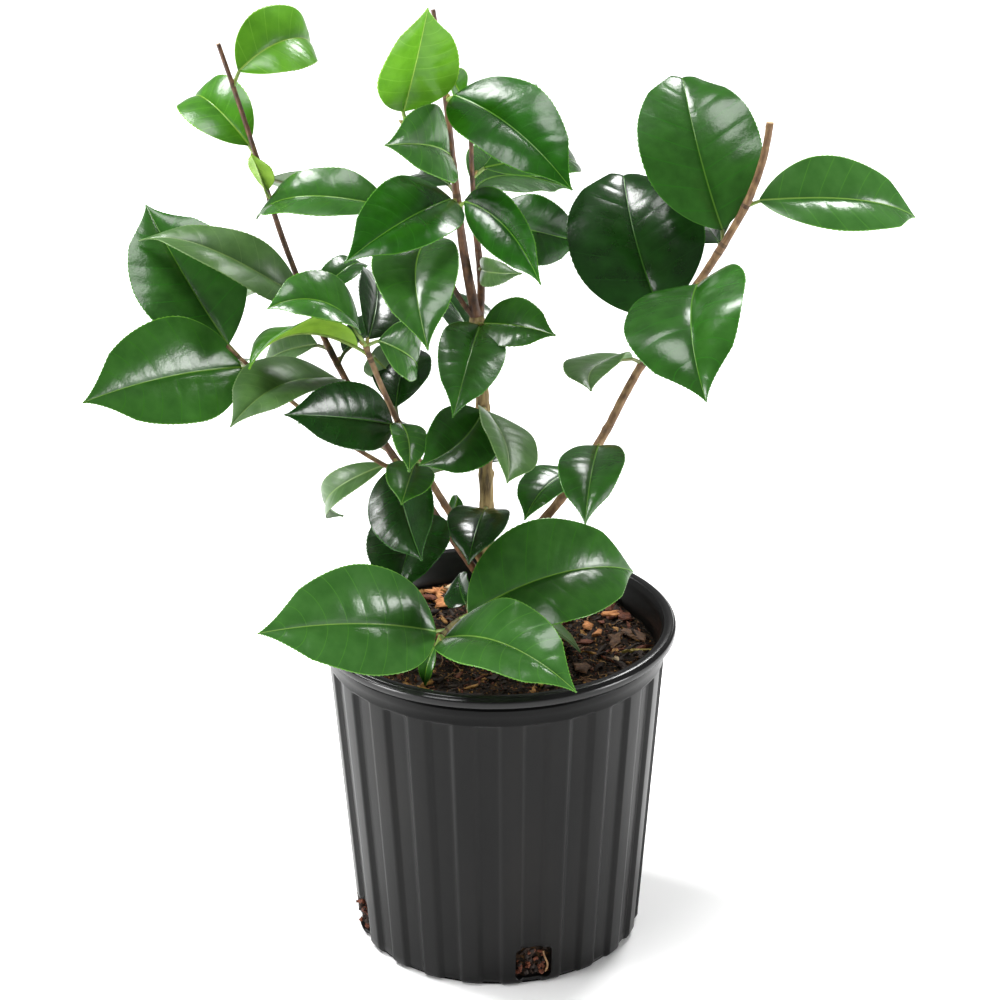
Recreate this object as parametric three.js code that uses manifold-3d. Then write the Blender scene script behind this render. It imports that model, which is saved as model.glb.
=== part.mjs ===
// Camellia shrub growing in a ribbed nursery pot. Millimetres, +Z up.
// The origin is the centre of the pot's flat underside, +X is to the viewer's right
// and +Y points away from the viewer. The pot is whole, and so is the crown's far side.
import * as THREE from 'three';
import { mergeVertices } from 'three/addons/utils/BufferGeometryUtils.js';
import Module from 'manifold-3d';

const wasm = await Module();
wasm.setup();

// Air between pieces that touch on the living plant
const CLEAR = 0.3;

// Pot
const POT_HEIGHT = 156;
const RIM_RADIUS = 82.5;
const LIP_HEIGHT = 5;
const LIP_WIDTH = 5.5;
const LEDGE_DROP = 3;
const COLLAR_RADIUS = 78.2;
const COLLAR_HEIGHT = 11;
const BASE_RADIUS = 66.3;
const BASE_ROUNDING = 3;
const POT_WALL = 1.5;
const POT_FLOOR = 3;
const FLUTES = 22;
const FLUTE_DEPTH = 1.8;
const FLUTE_FADE = 5;
const FLUTE_PHASE = -93;
const STEPS_PER_FLUTE = 6;
const DRAIN_WIDTH = 17;
const DRAIN_LOW = 3.5;
const DRAIN_HIGH = 20;
const DRAIN_COUNT = 4;
const DRAIN_HEADING = -76;

// Potting mix, filled to a little below the rim
const SOIL_TOP = 142;
const SOIL_SIDES = 44;

// Stems. Each walks its length while its heading and rise turn evenly through the values given.
// Heading is in degrees from +X towards +Y, rise in degrees above the level, girth is the
// diameter at each end, and share says how far up its parent a stem starts.
const FOOT = [-3, 2, SOIL_TOP + CLEAR];
const ROOT_FLARE = 3.4;
const FLARE_HEIGHT = 7;
const STEMS = {
  trunk: { foot: FOOT, heading: [190], rise: [89.5, 89, 86], length: 161, girth: [6.8, 5.8] },
  leader_left: { on: 'trunk', share: 0.985, heading: [200, 145], rise: [78, 84, 85, 79], length: 141, girth: [4.6, 1.9] },
  leader_right: { on: 'trunk', share: 0.97, heading: [60, 140, 165], rise: [62, 84, 90], length: 84, girth: [3.9, 1.8] },
  centre_twig: { on: 'trunk', share: 0.985, heading: [208, 190], rise: [49, 66, 74, 20], length: 66, girth: [2.4, 1.6] },
  top_twig: { on: 'leader_left', share: 0.48, heading: [204], rise: [60, 39], length: 35, girth: [2, 1.5] },
  tall_left: { on: 'trunk', share: 0.17, heading: [174, 168], rise: [56.5, 56, 66, 75, 72], length: 280, girth: [3.8, 1.9] },
  inner_left: { on: 'trunk', share: 0.23, heading: [200, 205], rise: [59, 63, 72], length: 131, girth: [3.8, 2.2] },
  low_left: { on: 'tall_left', share: 0.233, heading: [200], rise: [33, 44, 48], length: 111, girth: [2.2, 1.7] },
  right: { on: 'trunk', share: 0.2, heading: [8], rise: [45, 52, 65, 54, 60, 85], length: 248, girth: [4.5, 3.2] },
  front_shoot: { on: 'trunk', share: 0.07, heading: [246], rise: [39, -6], length: 57, girth: [3.4, 2.2] },
};
const STEM_SIDES = 6;
const STEM_STEP = 10;
const WALK_STEP = 3;
const WALK_FEWEST = 6;

// Leaves
const LEAF_THICKNESS = 1;
const PETIOLE = 7;
const PETIOLE_SHARE = 0.25;
const SPUR_PETIOLE = 3;
const PETIOLE_WIDTH = 1.7;
const PETIOLE_RISE = 0.6;
const LEAF_FOLD = 18;
const FOLD_EASING = 0.45;
const WIDEST_AT = 0.43;
const DROOP_EASING = 1.4;
const BLADE_PIECES = 3;
const LEAF_STATIONS = [0, 0.08, 0.23, 0.42, 0.62, 0.8, 0.93, 1];
const TIP_WIDTH = 0.8;

const UP = new THREE.Vector3(0, 0, 1);

function direction(heading, rise) {
  const h = THREE.MathUtils.degToRad(heading);
  const r = THREE.MathUtils.degToRad(rise);
  return new THREE.Vector3(Math.cos(r) * Math.cos(h), Math.cos(r) * Math.sin(h), Math.sin(r));
}

// Value of an evenly spaced list at a share between 0 and 1
function along(values, share) {
  const place = THREE.MathUtils.clamp(share, 0, 1) * (values.length - 1);
  const index = Math.min(Math.floor(place), Math.max(values.length - 2, 0));
  const next = Math.min(index + 1, values.length - 1);
  return THREE.MathUtils.lerp(values[index], values[next], place - index);
}

function signedVolume(geometry) {
  const p = geometry.attributes.position;
  const index = geometry.index;
  const corner = [new THREE.Vector3(), new THREE.Vector3(), new THREE.Vector3()];
  let sum = 0;
  for (let i = 0; i < index.count; i += 3) {
    corner.forEach((c, k) => c.fromBufferAttribute(p, index.getX(i + k)));
    sum += corner[0].dot(corner[1].clone().cross(corner[2]));
  }
  return sum / 6;
}

// Closed skin through rings of equal size, with a fan on each end and its faces pointing out
function loft(rings) {
  const size = rings[0].length;
  const points = rings.flat();
  const faces = [];
  for (let r = 0; r < rings.length - 1; r += 1) {
    for (let k = 0; k < size; k += 1) {
      const a = r * size + k;
      const b = r * size + ((k + 1) % size);
      faces.push(a, b, b + size, a, b + size, a + size);
    }
  }
  for (const [ring, first] of [[rings[0], 0], [rings.at(-1), (rings.length - 1) * size]]) {
    const centre = points.length;
    points.push(ring.reduce((sum, p) => sum.add(p), new THREE.Vector3()).divideScalar(size));
    for (let k = 0; k < size; k += 1) {
      const a = first + k;
      const b = first + ((k + 1) % size);
      faces.push(...(first === 0 ? [centre, b, a] : [centre, a, b]));
    }
  }
  const geometry = new THREE.BufferGeometry();
  geometry.setAttribute('position', new THREE.Float32BufferAttribute(points.flatMap((p) => p.toArray()), 3));
  geometry.setIndex(faces);
  if (signedVolume(geometry) < 0) geometry.index.array.reverse();
  return geometry;
}

function toSolid(source) {
  const bare = source.clone();
  bare.deleteAttribute('normal');
  bare.deleteAttribute('uv');
  const merged = mergeVertices(bare.index ? bare.toNonIndexed() : bare, 1e-4);
  return new wasm.Manifold(new wasm.Mesh({
    numProp: 3,
    vertProperties: new Float32Array(merged.attributes.position.array),
    triVerts: new Uint32Array(merged.index.array),
  }));
}

// The largest body of a solid, with any loose scrap dropped
function wholeOf(solid) {
  return solid.decompose().sort((a, b) => b.volume() - a.volume())[0];
}

function toGeometry(solid) {
  const mesh = solid.getMesh();
  const geometry = new THREE.BufferGeometry();
  geometry.setAttribute('position', new THREE.Float32BufferAttribute(mesh.vertProperties, 3));
  geometry.setIndex([...mesh.triVerts]);
  geometry.computeVertexNormals();
  return geometry;
}

// Stems as lines of short steps

function stemTangent(stem, share) {
  return direction(along(stem.heading, share), along(stem.rise, share));
}

function walk(stem, start) {
  const steps = Math.max(WALK_FEWEST, Math.round(stem.length / WALK_STEP));
  stem.points = [start.clone()];
  for (let i = 0; i < steps; i += 1) {
    const step = stemTangent(stem, (i + 0.5) / steps);
    stem.points.push(stem.points.at(-1).clone().addScaledVector(step, stem.length / steps));
  }
}

function stemPoint(stem, share) {
  const place = THREE.MathUtils.clamp(share, 0, 1) * (stem.points.length - 1);
  const index = Math.min(Math.floor(place), stem.points.length - 2);
  return stem.points[index].clone().lerp(stem.points[index + 1], place - index);
}

function stemRadius(stem, share) {
  const radius = along(stem.girth, share) / 2;
  const flare = stem.foot ? (ROOT_FLARE / 2) * Math.exp((-share * stem.length) / FLARE_HEIGHT) : 0;
  return radius + flare;
}

for (const stem of Object.values(STEMS)) {
  walk(stem, stem.foot ? new THREE.Vector3(...stem.foot) : stemPoint(STEMS[stem.on], stem.share));
}

// Tapering tube along a stretch of a stem, drawn out by grow on every side
function stemSolid(stem, from, to, grow = 0) {
  const count = Math.max(2, Math.round(((to - from) * stem.length) / STEM_STEP));
  const rings = [];
  for (let i = 0; i <= count; i += 1) {
    const share = THREE.MathUtils.lerp(from, to, i / count);
    const centre = stemPoint(stem, share);
    const tangent = stem.foot && i === 0 ? UP.clone() : stemTangent(stem, share);
    const side = new THREE.Vector3(1, 0, 0).addScaledVector(tangent, -tangent.x).normalize();
    const other = tangent.clone().cross(side);
    const radius = stemRadius(stem, share) + grow;
    rings.push(Array.from({ length: STEM_SIDES }, (unused, k) => {
      const angle = (k / STEM_SIDES) * Math.PI * 2;
      return centre.clone().addScaledVector(side, radius * Math.cos(angle)).addScaledVector(other, radius * Math.sin(angle));
    }));
  }
  return toSolid(loft(rings));
}

// Part of a stem, cut clear of the parent that it grows from and of a neighbour at the same fork
function limbSolid(stem, from, to, neighbour) {
  const solid = stemSolid(stem, from, to);
  const others = [from > 0 ? null : stem.on, neighbour].filter(Boolean);
  const cut = others.reduce((rest, name) => rest.subtract(stemSolid(STEMS[name], 0, 1, CLEAR)), solid);
  return wholeOf(cut);
}

// Leaves

function halfWidthShare(u) {
  if (u < WIDEST_AT) return (1 - ((WIDEST_AT - u) / WIDEST_AT) ** 2.3) ** 0.8;
  const x = (u - WIDEST_AT) / (1 - WIDEST_AT);
  const drawnOut = 1 - 0.6 * THREE.MathUtils.clamp((x - 0.6) / 0.4, 0, 1) ** 1.1;
  return (1 - x ** 1.9) * drawnOut;
}

// A leaf's frame where its petiole meets the blade. The midrib starts out at heading and rise, and
// the upper face is rolled about it.
function leafFrame(stem, [share, heading, rise, roll, , , length]) {
  const root = stemPoint(stem, share);
  const out = direction(heading, rise);
  const petiole = stemTangent(stem, share).multiplyScalar(PETIOLE_RISE).add(out).normalize();
  const reach = Math.min(stem.petiole ?? PETIOLE, PETIOLE_SHARE * length);
  const h = THREE.MathUtils.degToRad(heading);
  const level = new THREE.Vector3(Math.sin(h), -Math.cos(h), 0);
  const top = level.clone().cross(out);
  const turn = THREE.MathUtils.degToRad(roll);
  return {
    root,
    out,
    petiole,
    base: root.clone().addScaledVector(petiole, reach),
    face: top.clone().multiplyScalar(Math.cos(turn)).addScaledVector(level, Math.sin(turn)),
    side: level.clone().multiplyScalar(Math.cos(turn)).addScaledVector(top, -Math.sin(turn)),
  };
}

// Direction and upper normal of the blade at a share u of its length. Droop bends it down and
// sweep bends it sideways.
function bladeTurn(frame, droop, sweep, u) {
  const down = THREE.MathUtils.degToRad(droop) * u ** DROOP_EASING;
  const aside = THREE.MathUtils.degToRad(sweep) * u;
  const flat = frame.out.clone().multiplyScalar(Math.cos(aside)).addScaledVector(frame.side, Math.sin(aside));
  return {
    tangent: flat.clone().multiplyScalar(Math.cos(down)).addScaledVector(frame.face, -Math.sin(down)),
    normal: frame.face.clone().multiplyScalar(Math.cos(down)).addScaledVector(flat, Math.sin(down)),
  };
}

// Sections of a blade at the given shares of its length
function bladeSections(frame, [, , , , droop, sweep, length, width], stations) {
  const point = frame.base.clone();
  let before = 0;
  return stations.map((u) => {
    for (let i = 0; i < BLADE_PIECES; i += 1) {
      const mid = before + ((i + 0.5) / BLADE_PIECES) * (u - before);
      point.addScaledVector(bladeTurn(frame, droop, sweep, mid).tangent, (length * (u - before)) / BLADE_PIECES);
    }
    before = u;
    const { tangent, normal } = bladeTurn(frame, droop, sweep, u);
    const half = Math.max(0, (width / 2) * halfWidthShare(u));
    const fold = THREE.MathUtils.degToRad(LEAF_FOLD) * (1 - FOLD_EASING * u);
    return { centre: point.clone(), tangent, across: tangent.clone().cross(normal), normal, half, fold };
  });
}

// One leaf with its petiole, rooted on a stem's axis
function leafSolid(stem, leaf) {
  const frame = leafFrame(stem, leaf);
  const ring = ({ centre, across, normal, half, fold }, thick, least) => {
    const reach = Math.max(half, least);
    const outward = reach * Math.cos(fold);
    const lift = reach * Math.sin(fold);
    const at = (x, z) => centre.clone().addScaledVector(across, x).addScaledVector(normal, z);
    const t = thick / 2;
    return [at(-outward, lift + t), at(0, t), at(outward, lift + t), at(outward, lift - t), at(0, -t), at(-outward, lift - t)];
  };
  const stalk = { across: frame.petiole.clone().cross(frame.face).normalize(), normal: frame.face, half: 0, fold: 0 };
  const rings = [0, 0.7].map((share) => (
    ring({ ...stalk, centre: frame.root.clone().lerp(frame.base, share) }, PETIOLE_WIDTH, PETIOLE_WIDTH / 2)));
  const sections = bladeSections(frame, leaf, LEAF_STATIONS);
  sections.forEach((section, i) => {
    rings.push(ring(section, LEAF_THICKNESS, i === 0 ? PETIOLE_WIDTH / 2 : TIP_WIDTH / 2));
  });
  return toSolid(loft(rings));
}

// Foliage masses. A mass is a leafy stretch of a stem, or a short spur on its side, with its leaves.
// A leaf is [share, heading, rise, roll, droop, sweep, length, width].
const MASSES = {
  leaves_left_top: { stem: 'tall_left', from: 0.68, to: 1, leaves: [
    [0.93, 33, 37, 48, 96, 37, 56, 33],
    [0.81, 144, 42, -38, 96, -5, 59, 29],
    [0.74, 243, 64, 0, 10, 0, 23, 12],
  ] },
  leaves_left_shoulder: { stem: 'tall_left', from: 0.36, to: 0.68, leaves: [
    [0.56, 233, 32, -64, 90, 57, 86, 29],
    [0.41, 231, 23, -8, 42, -20, 84, 36],
    [0.48, 148, -18, -38, 44, 5, 48, 22],
    [0.55, 45, 29, 25, 75, -10, 45, 15],
  ] },
  leaves_left_far: { stem: 'low_left', from: 0.78, to: 1, leaves: [
    [0.93, 145, 46, -36, 20, 12, 76, 50],
    [0.84, 218, 11, -52, 11, -14, 81, 50],
  ] },
  leaves_left_inner: { stem: 'inner_left', from: 0.47, to: 1, leaves: [
    [1, 209, 62, -25, 98, -22, 50, 34],
    [0.96, 180, 28, 32, 92, -18, 57, 36],
    [0.65, 227, 24, -62, 18, -3, 63, 32],
    [0.97, 79, 23, 46, 40, 0, 60, 26],
    [1, 33, -29, 62, 48, 2, 36, 27],
    [0.69, 86, 27, 2, 34, 10, 51, 27],
    [0.67, 288, 4, -13, 68, 7, 32, 17],
    [0.94, 80, -32, -60, 14, 0, 38, 15],
    [0.51, 263, -6, -11, 12, 2, 33, 22],
  ] },
  leaves_left_low: { stem: 'tall_left', from: 0.247, to: 0.3, leaves: [
    [0.255, 180, -22, -46, 122, 6, 65, 15],
    [0.262, 279, -20, 32, -4, -9, 66, 33],
  ] },
  leaves_left_foot: { spur: { on: 'tall_left', share: 0.17, heading: [199], rise: [-10], length: 4, girth: [1.8, 1.7] }, leaves: [
    [1, 262, -13, 5, 18, 8, 53, 39],
  ] },
  bud_left: { spur: { on: 'tall_left', share: 0.13, heading: [52], rise: [40], length: 2.6, girth: [1.6, 1.4] }, leaves: [
    [1, 52, 37, 61, 54, -6, 14, 8],
  ] },
  leaves_crown_top: { stem: 'top_twig', from: 0.3, to: 1, leaves: [
    [0.98, 130, 112, -12, 6, 0, 51, 39],
  ] },
  leaves_crown_upper: { stem: 'leader_left', from: 0.33, to: 1, leaves: [
    [0.52, 257, 28, -72, 45, -4, 55, 35],
    [0.39, 246, 8, -32, 44, 6, 77, 37],
    [0.72, 309, -1, 26, 43, 11, 79, 40],
    [0.38, 306, 6, 65, 10, 46, 68, 25],
    [0.8, 63, -46, 86, 5, 0, 26, 16],
  ] },
  leaves_crown_right: { stem: 'leader_right', from: 0.4, to: 1, leaves: [
    [0.67, 78, 0, 31, 0, 60, 77, 36],
    [0.53, 38, -23, 76, 6, -2, 61, 32],
    [0.79, 22, 4, 45, 74, -13, 70, 22],
  ] },
  leaf_fork_right: { spur: { on: 'leader_right', share: 0.29, heading: [275], rise: [30], length: 4, girth: [1.8, 1.7] }, leaves: [
    [1, 275, 13, 88, 66, -5, 35, 13],
  ] },
  leaves_crown_centre: { stem: 'centre_twig', from: 0.5, to: 1, leaves: [
    [0.68, 254, 0, 0, 46, -35, 79, 38],
    [0.98, 181, 14, -33, 81, 18, 72, 29],
  ] },
  leaves_trunk_fork: { spur: { on: 'trunk', share: 0.965, heading: [284], rise: [36], length: 4.6, girth: [2.6, 2.2] }, leaves: [
    [1, 262, -3, -20, 29, -5, 68, 30],
    [1, 315, 15, 46, 26, 6, 41, 25],
  ] },
  leaves_trunk_middle: { spur: { on: 'trunk', share: 0.725, heading: [273], rise: [20], length: 5, girth: [2.8, 2.4] }, leaves: [
    [1, 252, -18, -36, -5, 33, 55, 32],
    [1, 295, -9, -34, 28, 20, 56, 33],
  ] },
  leaves_trunk_low: { spur: { on: 'trunk', share: 0.42, heading: [265], rise: [25], length: 5, girth: [2.6, 2.2] }, leaves: [
    [1, 263, 12, -1, 48, 4, 48, 28],
  ] },
  leaves_back_upper: { spur: { on: 'trunk', share: 0.84, heading: [95], rise: [25], length: 6, girth: [2.6, 2.2] }, leaves: [
  ] },
  leaves_back_low: { spur: { on: 'trunk', share: 0.52, heading: [80], rise: [25], length: 6, girth: [2.6, 2.2] }, leaves: [
  ] },
  leaves_trunk_foot: { spur: { on: 'trunk', share: 0.09, heading: [347], rise: [15], length: 5.5, girth: [2.2, 1.8] }, leaves: [
    [1, 348, -10, -22, 32, 3, 39, 31],
  ] },
  leaves_right_top: { stem: 'right', from: 0.71, to: 1, leaves: [
    [0.76, 128, 58, -29, 48, 19, 88, 56],
    [0.84, 1, 3, 42, 58, -8, 83, 39],
  ] },
  leaves_right_middle: { stem: 'right', from: 0.47, to: 0.71, leaves: [
    [0.57, 135, 56, -39, 56, 24, 84, 63],
    [0.67, 258, 4, 24, 70, 1, 80, 59],
    [0.5, 203, 3, 19, 35, -78, 47, 29],
  ] },
  leaves_right_low: { stem: 'right', from: 0.22, to: 0.37, leaves: [
    [0.32, 262, 4, 4, 38, 1, 62, 30],
    [0.26, 232, 8, 2, 43, -13, 46, 25],
  ] },
  leaves_front: { stem: 'front_shoot', from: 0.48, to: 1, leaves: [
    [0.89, 216, 25, -52, 34, -10, 89, 52],
    [0.66, 13, 29, 44, 74, 19, 93, 52],
    [0.99, 308, 27, 24, 70, 5, 83, 42],
    [1, 213, -59, -22, 42, -6, 20, 8],
  ] },
  leaf_front_small: { spur: { on: 'front_shoot', share: 0.42, heading: [121], rise: [50], length: 3, girth: [1.6, 1.5] }, leaves: [
    [1, 116, 30, -69, 32, 9, 18, 20],
  ] },
};

// Leaves of the far side. Each mass draws its own by a seeded rule and skips one that would leave
// the mass's space, or come too near a stem, another leaf, the pot or the mix.
const FAR_LEAVES = {
  leaves_left_top: { seed: 118, count: 1 },
  leaves_left_shoulder: { seed: 5, count: 2 },
  leaves_left_far: { seed: 2, count: 1 },
  leaves_left_inner: { seed: 1, count: 1 },
  leaves_left_low: { seed: 10, count: 1 },
  leaves_crown_upper: { seed: 454, count: 2 },
  leaves_crown_right: { seed: 1, count: 1 },
  leaves_back_upper: { seed: 413, count: 2 },
  leaves_back_low: { seed: 92, count: 2 },
  leaves_right_top: { seed: 342, count: 1 },
  leaves_right_middle: { seed: 13, count: 2 },
};
const FAR_TRIES = 40;
const FAR_HEADING = [35, 145];
const FAR_RISE = [-25, 30];
const FAR_ROLL = [-35, 35];
const FAR_DROOP = [20, 60];
const FAR_SWEEP = [-12, 12];
const FAR_LENGTH = [46, 70];
const FAR_WIDTH_SHARE = 0.54;
const MASS_REACH = 84;
const LEAF_APART = 8;
const STEM_APART = 4;
const TEST_STATIONS = [0.12, 0.24, 0.36, 0.48, 0.6, 0.72, 0.84, 0.94, 1];
const TEST_ACROSS = [-1, -0.5, 0, 0.5, 1];
const ROOM_AT_ROOT = 16;

// Seeded numbers between 0 and 1
function seeded(seed) {
  let state = seed;
  return () => {
    state = (state + 0x6d2b79f5) >>> 0;
    let t = Math.imul(state ^ (state >>> 15), state | 1);
    t = (t + Math.imul(t ^ (t >>> 7), t | 61)) ^ t;
    return ((t ^ (t >>> 14)) >>> 0) / 4294967296;
  };
}

// Points spread over a blade
function bladePoints(stem, leaf) {
  return bladeSections(leafFrame(stem, leaf), leaf, TEST_STATIONS).flatMap((section) => (
    TEST_ACROSS.map((share) => {
      const x = section.half * share * Math.cos(section.fold);
      const z = section.half * Math.abs(share) * Math.sin(section.fold);
      return section.centre.clone().addScaledVector(section.across, x).addScaledVector(section.normal, z);
    })));
}

function massStem(mass) {
  return mass.spur ?? STEMS[mass.stem];
}

function leafyMiddle(mass) {
  return stemPoint(massStem(mass), mass.spur ? 1 : (mass.from + mass.to) / 2);
}

// Whether a leaf stays in its space and keeps its distance from all that is there
function hasRoom(mass, leaf, blades) {
  const stem = massStem(mass);
  const root = stemPoint(stem, leaf[0]);
  const middle = leafyMiddle(mass);
  const points = bladePoints(stem, leaf);
  const away = points.filter((p) => p.distanceTo(root) > ROOM_AT_ROOT);
  if (points.some((p) => p.distanceTo(middle) > MASS_REACH)) return false;
  if (points.some((p) => p.z < POT_HEIGHT + STEM_APART && Math.hypot(p.x, p.y) > wallRadius(SOIL_TOP) - LEAF_APART)) return false;
  if (points.some((p) => p.z < SOIL_TOP + STEM_APART)) return false;
  if (blades.some((blade) => blade.some((q) => away.some((p) => p.distanceTo(q) < LEAF_APART)))) return false;
  return !Object.values(STEMS).some((other) => other.points.some((q) => (
    away.some((p) => p.distanceTo(q) < STEM_APART + other.girth[0] / 2))));
}

function growFarLeaves() {
  const blades = Object.values(MASSES).flatMap((mass) => mass.leaves.map((leaf) => bladePoints(massStem(mass), leaf)));
  for (const [name, { seed, count }] of Object.entries(FAR_LEAVES)) {
    const mass = MASSES[name];
    const random = seeded(seed);
    const between = ([low, high]) => THREE.MathUtils.lerp(low, high, random());
    let grown = 0;
    for (let i = 0; i < FAR_TRIES && grown < count; i += 1) {
      const share = mass.spur ? 1 : between([mass.from + 0.02, mass.to - 0.01]);
      const turn = [FAR_HEADING, FAR_RISE, FAR_ROLL, FAR_DROOP, FAR_SWEEP, FAR_LENGTH].map(between);
      const leaf = [share, ...turn, turn.at(-1) * FAR_WIDTH_SHARE];
      if (hasRoom(mass, leaf, blades)) {
        blades.push(bladePoints(massStem(mass), leaf));
        mass.leaves.push(leaf);
        grown += 1;
      }
    }
  }
}

// Bare stretches of the stems: stem, from share, to share, and a neighbour to keep clear of
const BOUGHS = {
  trunk: ['trunk', 0, 1],
  leader_left: ['leader_left', 0, 0.33],
  leader_right: ['leader_right', 0, 0.4, 'leader_left'],
  centre_twig: ['centre_twig', 0, 0.5, 'leader_left'],
  top_twig: ['top_twig', 0, 0.3],
  bough_tall_left: ['tall_left', 0, 0.247],
  bough_tall_left_middle: ['tall_left', 0.3, 0.36],
  bough_inner_left: ['inner_left', 0, 0.47],
  bough_low_left: ['low_left', 0, 0.78],
  bough_right: ['right', 0, 0.22],
  bough_right_upper: ['right', 0.37, 0.47],
  shoot_front: ['front_shoot', 0, 0.48],
};

// Pot and potting mix

// Solid turned about Z, from points of radius and height that start and end on the axis.
// The radius may depend on the angle.
function turned(profile, sides, radiusAt) {
  const rings = profile.slice(1, -1).map((point) => Array.from({ length: sides }, (unused, k) => {
    const angle = (k / sides) * Math.PI * 2;
    const radius = radiusAt(point, angle);
    return new THREE.Vector3(radius * Math.cos(angle), radius * Math.sin(angle), point.z);
  }));
  return toSolid(loft(rings));
}

function fluteInset(z, angle) {
  const pitch = 360 / FLUTES;
  const place = THREE.MathUtils.euclideanModulo(THREE.MathUtils.radToDeg(angle) - FLUTE_PHASE + pitch / 2, pitch);
  const fromCentre = Math.abs(place - pitch / 2);
  const top = POT_HEIGHT - LIP_HEIGHT - COLLAR_HEIGHT;
  const fade = THREE.MathUtils.clamp((top - z) / FLUTE_FADE, 0, 1);
  return fromCentre < pitch / 4 ? FLUTE_DEPTH * fade : 0;
}

function wallRadius(z) {
  return THREE.MathUtils.lerp(BASE_RADIUS, COLLAR_RADIUS, z / (POT_HEIGHT - LIP_HEIGHT));
}

function pot() {
  const underLip = POT_HEIGHT - LIP_HEIGHT;
  const fluteTop = underLip - COLLAR_HEIGHT;
  const inner = FLUTE_DEPTH + POT_WALL;
  const ledge = POT_HEIGHT - LEDGE_DROP;
  const outline = [
    { r: BASE_RADIUS - BASE_ROUNDING, z: 0 },
    { r: wallRadius(0), z: BASE_ROUNDING, fluted: true },
    { r: wallRadius(fluteTop - FLUTE_FADE), z: fluteTop - FLUTE_FADE, fluted: true },
    { r: wallRadius(fluteTop), z: fluteTop },
    { r: wallRadius(underLip), z: underLip },
    { r: RIM_RADIUS, z: underLip + 0.6 },
    { r: RIM_RADIUS, z: POT_HEIGHT - 1 },
    { r: RIM_RADIUS - 1, z: POT_HEIGHT },
    { r: RIM_RADIUS - LIP_WIDTH, z: POT_HEIGHT },
    { r: RIM_RADIUS - LIP_WIDTH - 0.6, z: ledge },
    { r: wallRadius(ledge) - inner, z: ledge - LEDGE_DROP },
    { r: wallRadius(POT_FLOOR) - inner, z: POT_FLOOR },
  ];
  const sides = FLUTES * STEPS_PER_FLUTE;
  const body = turned([null, ...outline, null], sides, (p, angle) => p.r - (p.fluted ? fluteInset(p.z, angle) : 0));
  const drains = Array.from({ length: DRAIN_COUNT }, (unused, k) => {
    const shape = new THREE.BoxGeometry(4 * FLUTE_DEPTH + 4 * POT_WALL, DRAIN_WIDTH, DRAIN_HIGH - DRAIN_LOW);
    shape.translate(BASE_RADIUS - POT_WALL, 0, (DRAIN_HIGH + DRAIN_LOW) / 2);
    shape.rotateZ(THREE.MathUtils.degToRad(DRAIN_HEADING + (360 / DRAIN_COUNT) * k));
    return toSolid(shape);
  });
  return drains.reduce((solid, drain) => solid.subtract(drain), body);
}

function pottingMix() {
  const inset = FLUTE_DEPTH + POT_WALL + CLEAR;
  const bottom = POT_FLOOR + CLEAR;
  const outline = [
    { r: wallRadius(bottom) - inset, z: bottom },
    { r: wallRadius(SOIL_TOP) - inset, z: SOIL_TOP },
  ];
  return turned([null, ...outline, null], SOIL_SIDES, (point) => point.r);
}

// Assembly

for (const mass of Object.values(MASSES)) {
  if (mass.spur) walk(mass.spur, stemPoint(STEMS[mass.spur.on], mass.spur.share));
  if (mass.spur) mass.spur.petiole = SPUR_PETIOLE;
}
growFarLeaves();

const MATERIALS = {
  plastic: new THREE.MeshStandardMaterial({ color: 0x2b2c2d, roughness: 0.45, metalness: 0 }),
  mix: new THREE.MeshStandardMaterial({ color: 0x3a2415, roughness: 0.95, metalness: 0 }),
  bark: new THREE.MeshStandardMaterial({ color: 0x6b4a2b, roughness: 0.8, metalness: 0 }),
  leaf: new THREE.MeshStandardMaterial({ color: 0x2f6b27, roughness: 0.3, metalness: 0 }),
};

const group = new THREE.Group();

function addPiece(name, solid, material) {
  const mesh = new THREE.Mesh(toGeometry(solid), material);
  mesh.name = name;
  group.add(mesh);
}

function shareGap(stem) {
  return CLEAR / stem.length;
}

function massSolid(mass) {
  if (!mass.spur) {
    const stem = STEMS[mass.stem];
    const twig = stemSolid(stem, mass.from + shareGap(stem), mass.to);
    return wholeOf(mass.leaves.reduce((solid, leaf) => solid.add(leafSolid(stem, leaf)), twig));
  }
  const twig = stemSolid(mass.spur, 0, 1);
  const joined = mass.leaves.reduce((solid, leaf) => solid.add(leafSolid(mass.spur, leaf)), twig);
  return wholeOf(joined.subtract(stemSolid(STEMS[mass.spur.on], 0, 1, CLEAR)));
}

addPiece('pot', pot(), MATERIALS.plastic);
addPiece('potting_mix', pottingMix(), MATERIALS.mix);
for (const [name, [stem, from, to, neighbour]] of Object.entries(BOUGHS)) {
  const start = from > 0 ? from + shareGap(STEMS[stem]) : 0;
  addPiece(name, limbSolid(STEMS[stem], start, to, neighbour), MATERIALS.bark);
}
for (const [name, mass] of Object.entries(MASSES)) {
  addPiece(name, massSolid(mass), MATERIALS.leaf);
}

export default group;
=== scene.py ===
"""Looks of a camellia shrub in its ribbed nursery pot.

Sizes are worked out in millimetres and laid down in metres, +X to the right and +Y away from
the camera. Stems and leaves grow by the same rule as the solids, from the same named sizes.
"""
from collections import namedtuple
from math import cos, exp, floor, hypot, inf, pi, radians, sin, sqrt

import bpy
import numpy as np
from mathutils import Matrix, Vector


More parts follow.
